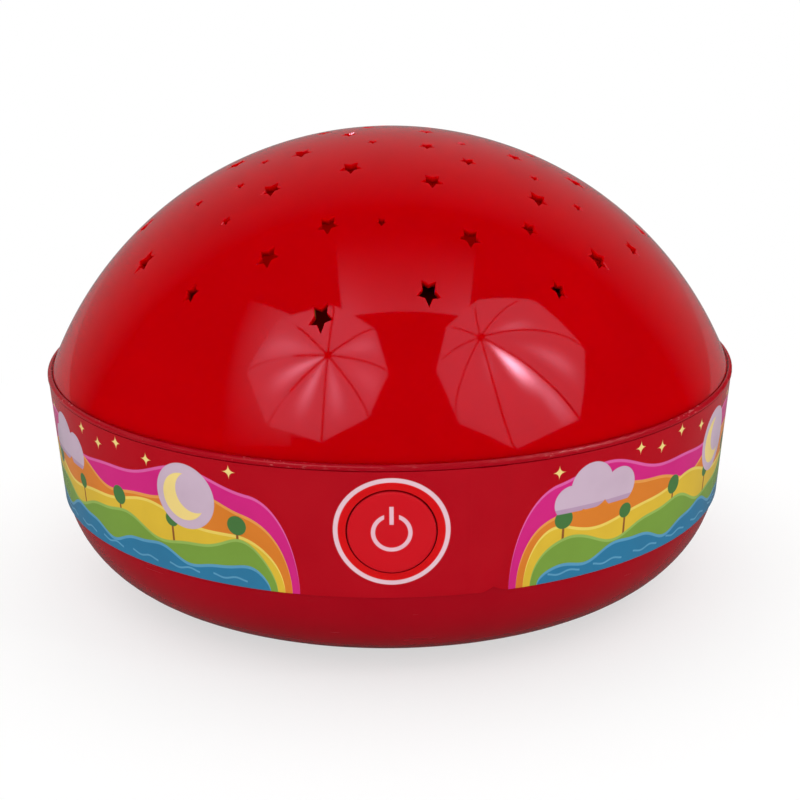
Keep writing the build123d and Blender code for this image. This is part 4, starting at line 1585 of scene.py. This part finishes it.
def add_light(name: str, shape: bmesh.types.BMesh) -> bpy.types.Object:
    """Turns a lit shape into a light that the camera doesn't see.

    Args:
        name: the light's name.
        shape: its mesh, whose corners carry their light as "glow".

    Returns:
        The light.
    """
    light = add_piece(name, shape)
    material = bpy.data.materials.new(f"{name}_cloth")
    material.use_nodes = True
    tree = material.node_tree
    tree.nodes.clear()
    glow = tree.nodes.new("ShaderNodeAttribute")
    glow.attribute_name = "glow"
    lit = tree.nodes.new("ShaderNodeEmission")
    leave = tree.nodes.new("ShaderNodeOutputMaterial")
    tree.links.new(glow.outputs["Fac"], lit.inputs["Strength"])
    tree.links.new(lit.outputs[0], leave.inputs["Surface"])
    light.data.materials.append(material)
    light.visible_camera = False
    light.visible_shadow = False
    return light


@dataclass
class Umbrella:
    """A photographer's umbrella: eight lit gores of satin between curved dark ribs."""

    name: str
    hub: Place
    middle: Place
    facing: Place
    radius: float
    turn_degrees: float
    rest_glow: float
    folds: tuple[Fold, ...]
    rim_share: float = 0.75
    gores: int = 8
    steps: int = 24
    across: int = 10
    rib_width: float = 0.010
    widest_rib: float = 0.45

    def build(self) -> bpy.types.Object:
        """Makes the umbrella.

        Returns:
            The light.
        """
        shape = bmesh.new()
        gore_degrees = 360 / self.gores
        for gore in range(self.gores):
            start = self.turn_degrees + gore * gore_degrees

            def corner(across: float, along: float) -> tuple[Vector, float]:
                """Place and light on the gore between two ribs."""
                share = (1 + along * (self.steps - 1)) / self.steps
                first, second = self.rib(start, share), self.rib(start + gore_degrees, share)
                gap = min(self.widest_rib, self.rib_width / (second - first).length / 2)
                part = gap + (1 - 2 * gap) * across
                return first.lerp(second, part), self.glow(start + part * gore_degrees, share)

            lit_grid(shape, self.across, self.steps, corner)
        return add_light(self.name, shape)

    def rib(self, degrees: float, share: float) -> Vector:
        """Point of a curved rib at a share of the way from hub to rim."""
        facing, middle = Vector(self.facing), Vector(self.middle)
        side = facing.cross(Vector((0, 0, 1))).normalized()
        rise = side.cross(facing).normalized()
        angle, bend = math.radians(degrees), math.pi / 2 * share
        outward = (side * math.cos(angle) + rise * math.sin(angle)) * self.radius
        return middle + outward * math.sin(bend) + (Vector(self.hub) - middle) * math.cos(bend)

    def glow(self, degrees: float, share: float) -> float:
        """Light of the cloth, weaker at the rim and stronger in its folds."""
        rest = self.rest_glow * (1 - (1 - self.rim_share) * share**2)
        return rest + sum(fold.glow(degrees, share) for fold in self.folds)


@dataclass
class SoftPanel:
    """A flat lit panel that fades from its near edge to its far edge."""

    name: str
    near: tuple[Place, Place]
    far: tuple[Place, Place]
    glows: tuple[float, ...]
    fade: float = 2.0
    steps: int = 14

    def build(self) -> bpy.types.Object:
        """Makes the panel.

        Returns:
            The light.
        """
        near, far = ([Vector(place) for place in edge] for edge in (self.near, self.far))

        def corner(across: float, along: float) -> tuple[Vector, float]:
            """Place and light on the panel."""
            place = near[0].lerp(near[1], across).lerp(far[0].lerp(far[1], across), along)
            spot = across * (len(self.glows) - 1)
            first = min(int(spot), len(self.glows) - 2)
            glow = self.glows[first] + (self.glows[first + 1] - self.glows[first]) * (spot - first)
            return place, glow * (1 - along) ** self.fade

        shape = bmesh.new()
        lit_grid(shape, self.steps, self.steps, corner)
        return add_light(self.name, shape)


@dataclass
class Studio:
    """Pale floor, white backdrop, two umbrellas, two soft panels and the camera."""

    floor_size: float = 8.0
    floor_grey: float = 0.74
    floor_white: float = 0.9
    floor_near: float = 0.085
    floor_far: float = 0.20
    floor_lift: float = 0.6
    floor_roughness: float = 0.9
    floor_gloss: float = 0.1
    ambient: float = 1.42
    backdrop_shine: float = 0.27
    backdrop_edge: Point = (0.70, 0.30)
    floor_shine_soft: float = 0.12
    lights: tuple[Umbrella | SoftPanel, ...] = (
        Umbrella(
            "umbrella_left", (-0.254, -0.450, 0.736), (-0.254, -0.460, 0.661), (0.597, 0.56, -0.574),
            0.308, 116.3, 1.0,
            (
                Fold(232, 9, 0.22, 0.30, 3.4), Fold(272, 7, 0.30, 0.26, 2.8), Fold(313, 9, 0.35, 0.26, 1.5),
                Fold(52, 11, 0.40, 0.30, 1.0), Fold(190, 13, 0.45, 0.30, 1.2), Fold(5, 12, 0.55, 0.30, 0.7),
            ),
        ),
        Umbrella(
            "umbrella_right", (0.360, -0.338, 0.748), (0.420, -0.347, 0.630), (-0.841, 0.487, -0.235),
            0.353, 66.0, 0.84,
            (
                Fold(279, 6, 0.34, 0.15, 20.0), Fold(284, 4.5, 0.68, 0.26, 2.4),
                Fold(312, 6, 0.62, 0.20, 1.6), Fold(345, 9, 0.30, 0.14, 1.2), Fold(245, 10, 0.25, 0.12, 0.6),
            ),
        ),
        SoftPanel(
            "overhead_panel",
            ((-0.202, -0.330, 0.90), (0.345, -0.300, 0.90)),
            ((-0.189, 0.150, 0.90), (0.317, 0.168, 0.90)),
            (1.1, 0.6, 0.5, 0.6, 0.9),
        ),
        SoftPanel(
            "side_screen",
            ((-0.413, -0.282, 0.918), (-0.493, -0.778, 0.495)),
            ((-0.590, -0.043, 0.851), (-0.778, -0.555, 0.404)),
            (0.8, 1.2, 1.1, 0.6, 0.1),
            fade=1.0,
        ),
    )
    camera_height: float = 0.0540
    camera_elevation: float = 16.42
    camera_distance: float = 0.500
    camera_pixels: float = 1987.4
    camera_offset: Point = (9.6, 47.8)
    camera_roll: float = -0.47
    camera_near: float = 0.01

    def build(self) -> None:
        """Makes the floor, the lights, the world and the camera."""
        bpy.context.scene.view_settings.view_transform = "Standard"
        self.floor()
        self.world()
        for light in self.lights:
            light.build()
        self.camera()

    def floor(self) -> None:
        """Makes the floor, which the camera sees go white away from the object."""
        shape = bmesh.new()
        bmesh.ops.create_grid(shape, x_segments=1, y_segments=1, size=self.floor_size / 2)
        floor = add_piece("floor", shape)
        material = bpy.data.materials.new("pale_floor")
        material.use_nodes = True
        tree = material.node_tree
        shader = tree.nodes["Principled BSDF"]
        shader.inputs["Roughness"].default_value = self.floor_roughness
        shader.inputs["Specular IOR Level"].default_value = self.floor_gloss
        lit = tree.nodes.new("ShaderNodeEmission")
        mix = tree.nodes.new("ShaderNodeMixShader")
        place = tree.nodes.new("ShaderNodeTexCoord")
        parts = tree.nodes.new("ShaderNodeSeparateXYZ")
        tree.links.new(place.outputs["Object"], parts.inputs[0])
        x, y = (Field(tree, parts.outputs[axis]) for axis in range(2))
        seen, glossy = self.rays(tree)
        half = (self.floor_far - self.floor_near) / 2
        far = x.away(y, (0, 0)).under(self.floor_near + half, half).flipped()
        share = (far * (1 - self.floor_lift) + self.floor_lift) * seen
        shine = y.under(0.0, self.floor_shine_soft).flipped() * glossy * self.backdrop_shine
        tone = seen * (self.floor_white - self.floor_grey) + self.floor_grey
        tree.links.new(tone.socket, shader.inputs["Base Color"])
        tree.links.new((seen + shine).socket, lit.inputs["Strength"])
        tree.links.new((share + glossy).socket, mix.inputs[0])
        tree.links.new(shader.outputs[0], mix.inputs[1])
        tree.links.new(lit.outputs[0], mix.inputs[2])
        tree.links.new(mix.outputs[0], tree.nodes["Material Output"].inputs["Surface"])
        floor.data.materials.append(material)

    def rays(self, tree: bpy.types.NodeTree) -> tuple[Field, Field]:
        """Tells rays apart.

        Args:
            tree: the floor's or the world's node tree.

        Returns:
            1 for rays from the camera, also through clear plastic, and 1 for rays off glossy faces.
        """
        path = tree.nodes.new("ShaderNodeLightPath")
        camera = Field(tree, path.outputs["Is Camera Ray"])
        seen = camera.most(Field(tree, path.outputs["Is Transmission Ray"]))
        return seen, Field(tree, path.outputs["Is Glossy Ray"]) * seen.flipped()

    def world(self) -> None:
        """Makes the backdrop: white to the camera, pale behind the object in reflections."""
        world = bpy.data.worlds.new("studio")
        bpy.context.scene.world = world
        world.use_nodes = True
        tree = world.node_tree
        ground = tree.nodes["Background"]
        place = tree.nodes.new("ShaderNodeTexCoord")
        parts = tree.nodes.new("ShaderNodeSeparateXYZ")
        tree.links.new(place.outputs["Generated"], parts.inputs[0])
        seen, glossy = self.rays(tree)
        behind = Field(tree, parts.outputs[1]).under(*self.backdrop_edge).flipped()
        rest = (seen + glossy).flipped() * self.ambient
        strength = rest + behind * glossy * self.backdrop_shine + seen
        tree.links.new(strength.socket, ground.inputs["Strength"])
        ground.inputs["Color"].default_value = (1, 1, 1, 1)
        world.cycles.sampling_method = "NONE"

    def camera(self) -> None:
        """Sets the camera at the photograph's viewing angle."""
        tilt = math.radians(self.camera_elevation)
        ahead = Vector((0, math.cos(tilt), -math.sin(tilt)))
        up = Vector((0, math.sin(tilt), math.cos(tilt)))
        right = Vector((1, 0, 0))
        aside, below = (pixels / self.camera_pixels for pixels in self.camera_offset)
        gaze = (ahead + right * aside - up * below).normalized()
        turn = gaze.to_track_quat("-Z", "Y")
        roll = Quaternion((0, 0, 1), math.radians(self.camera_roll))
        data = bpy.data.cameras.new("camera")
        data.sensor_width = SENSOR_WIDTH
        data.lens = SENSOR_WIDTH * self.camera_pixels / PHOTO_WIDTH
        data.clip_start = self.camera_near
        camera = bpy.data.objects.new("camera", data)
        camera.rotation_mode = "QUATERNION"
        camera.rotation_quaternion = turn @ roll
        camera.location = Vector((0, 0, self.camera_height)) - ahead * self.camera_distance
        bpy.context.collection.objects.link(camera)
        bpy.context.scene.camera = camera


def main() -> None:
    """Builds and dresses the night light and its studio."""
    logging.basicConfig(level=logging.INFO, format="%(message)s")
    Studio().build()
    materials = Casing().dress()
    wall = TaperedWall()
    builders = (StarDome(materials["dome_plastic"], wall), WrapLabel(wall), ButtonFilm(wall))
    for builder in builders:
        piece = builder.build()
        log.info("%s: %d faces", piece.name, len(piece.data.polygons))


if __name__ == "__main__":
    main()
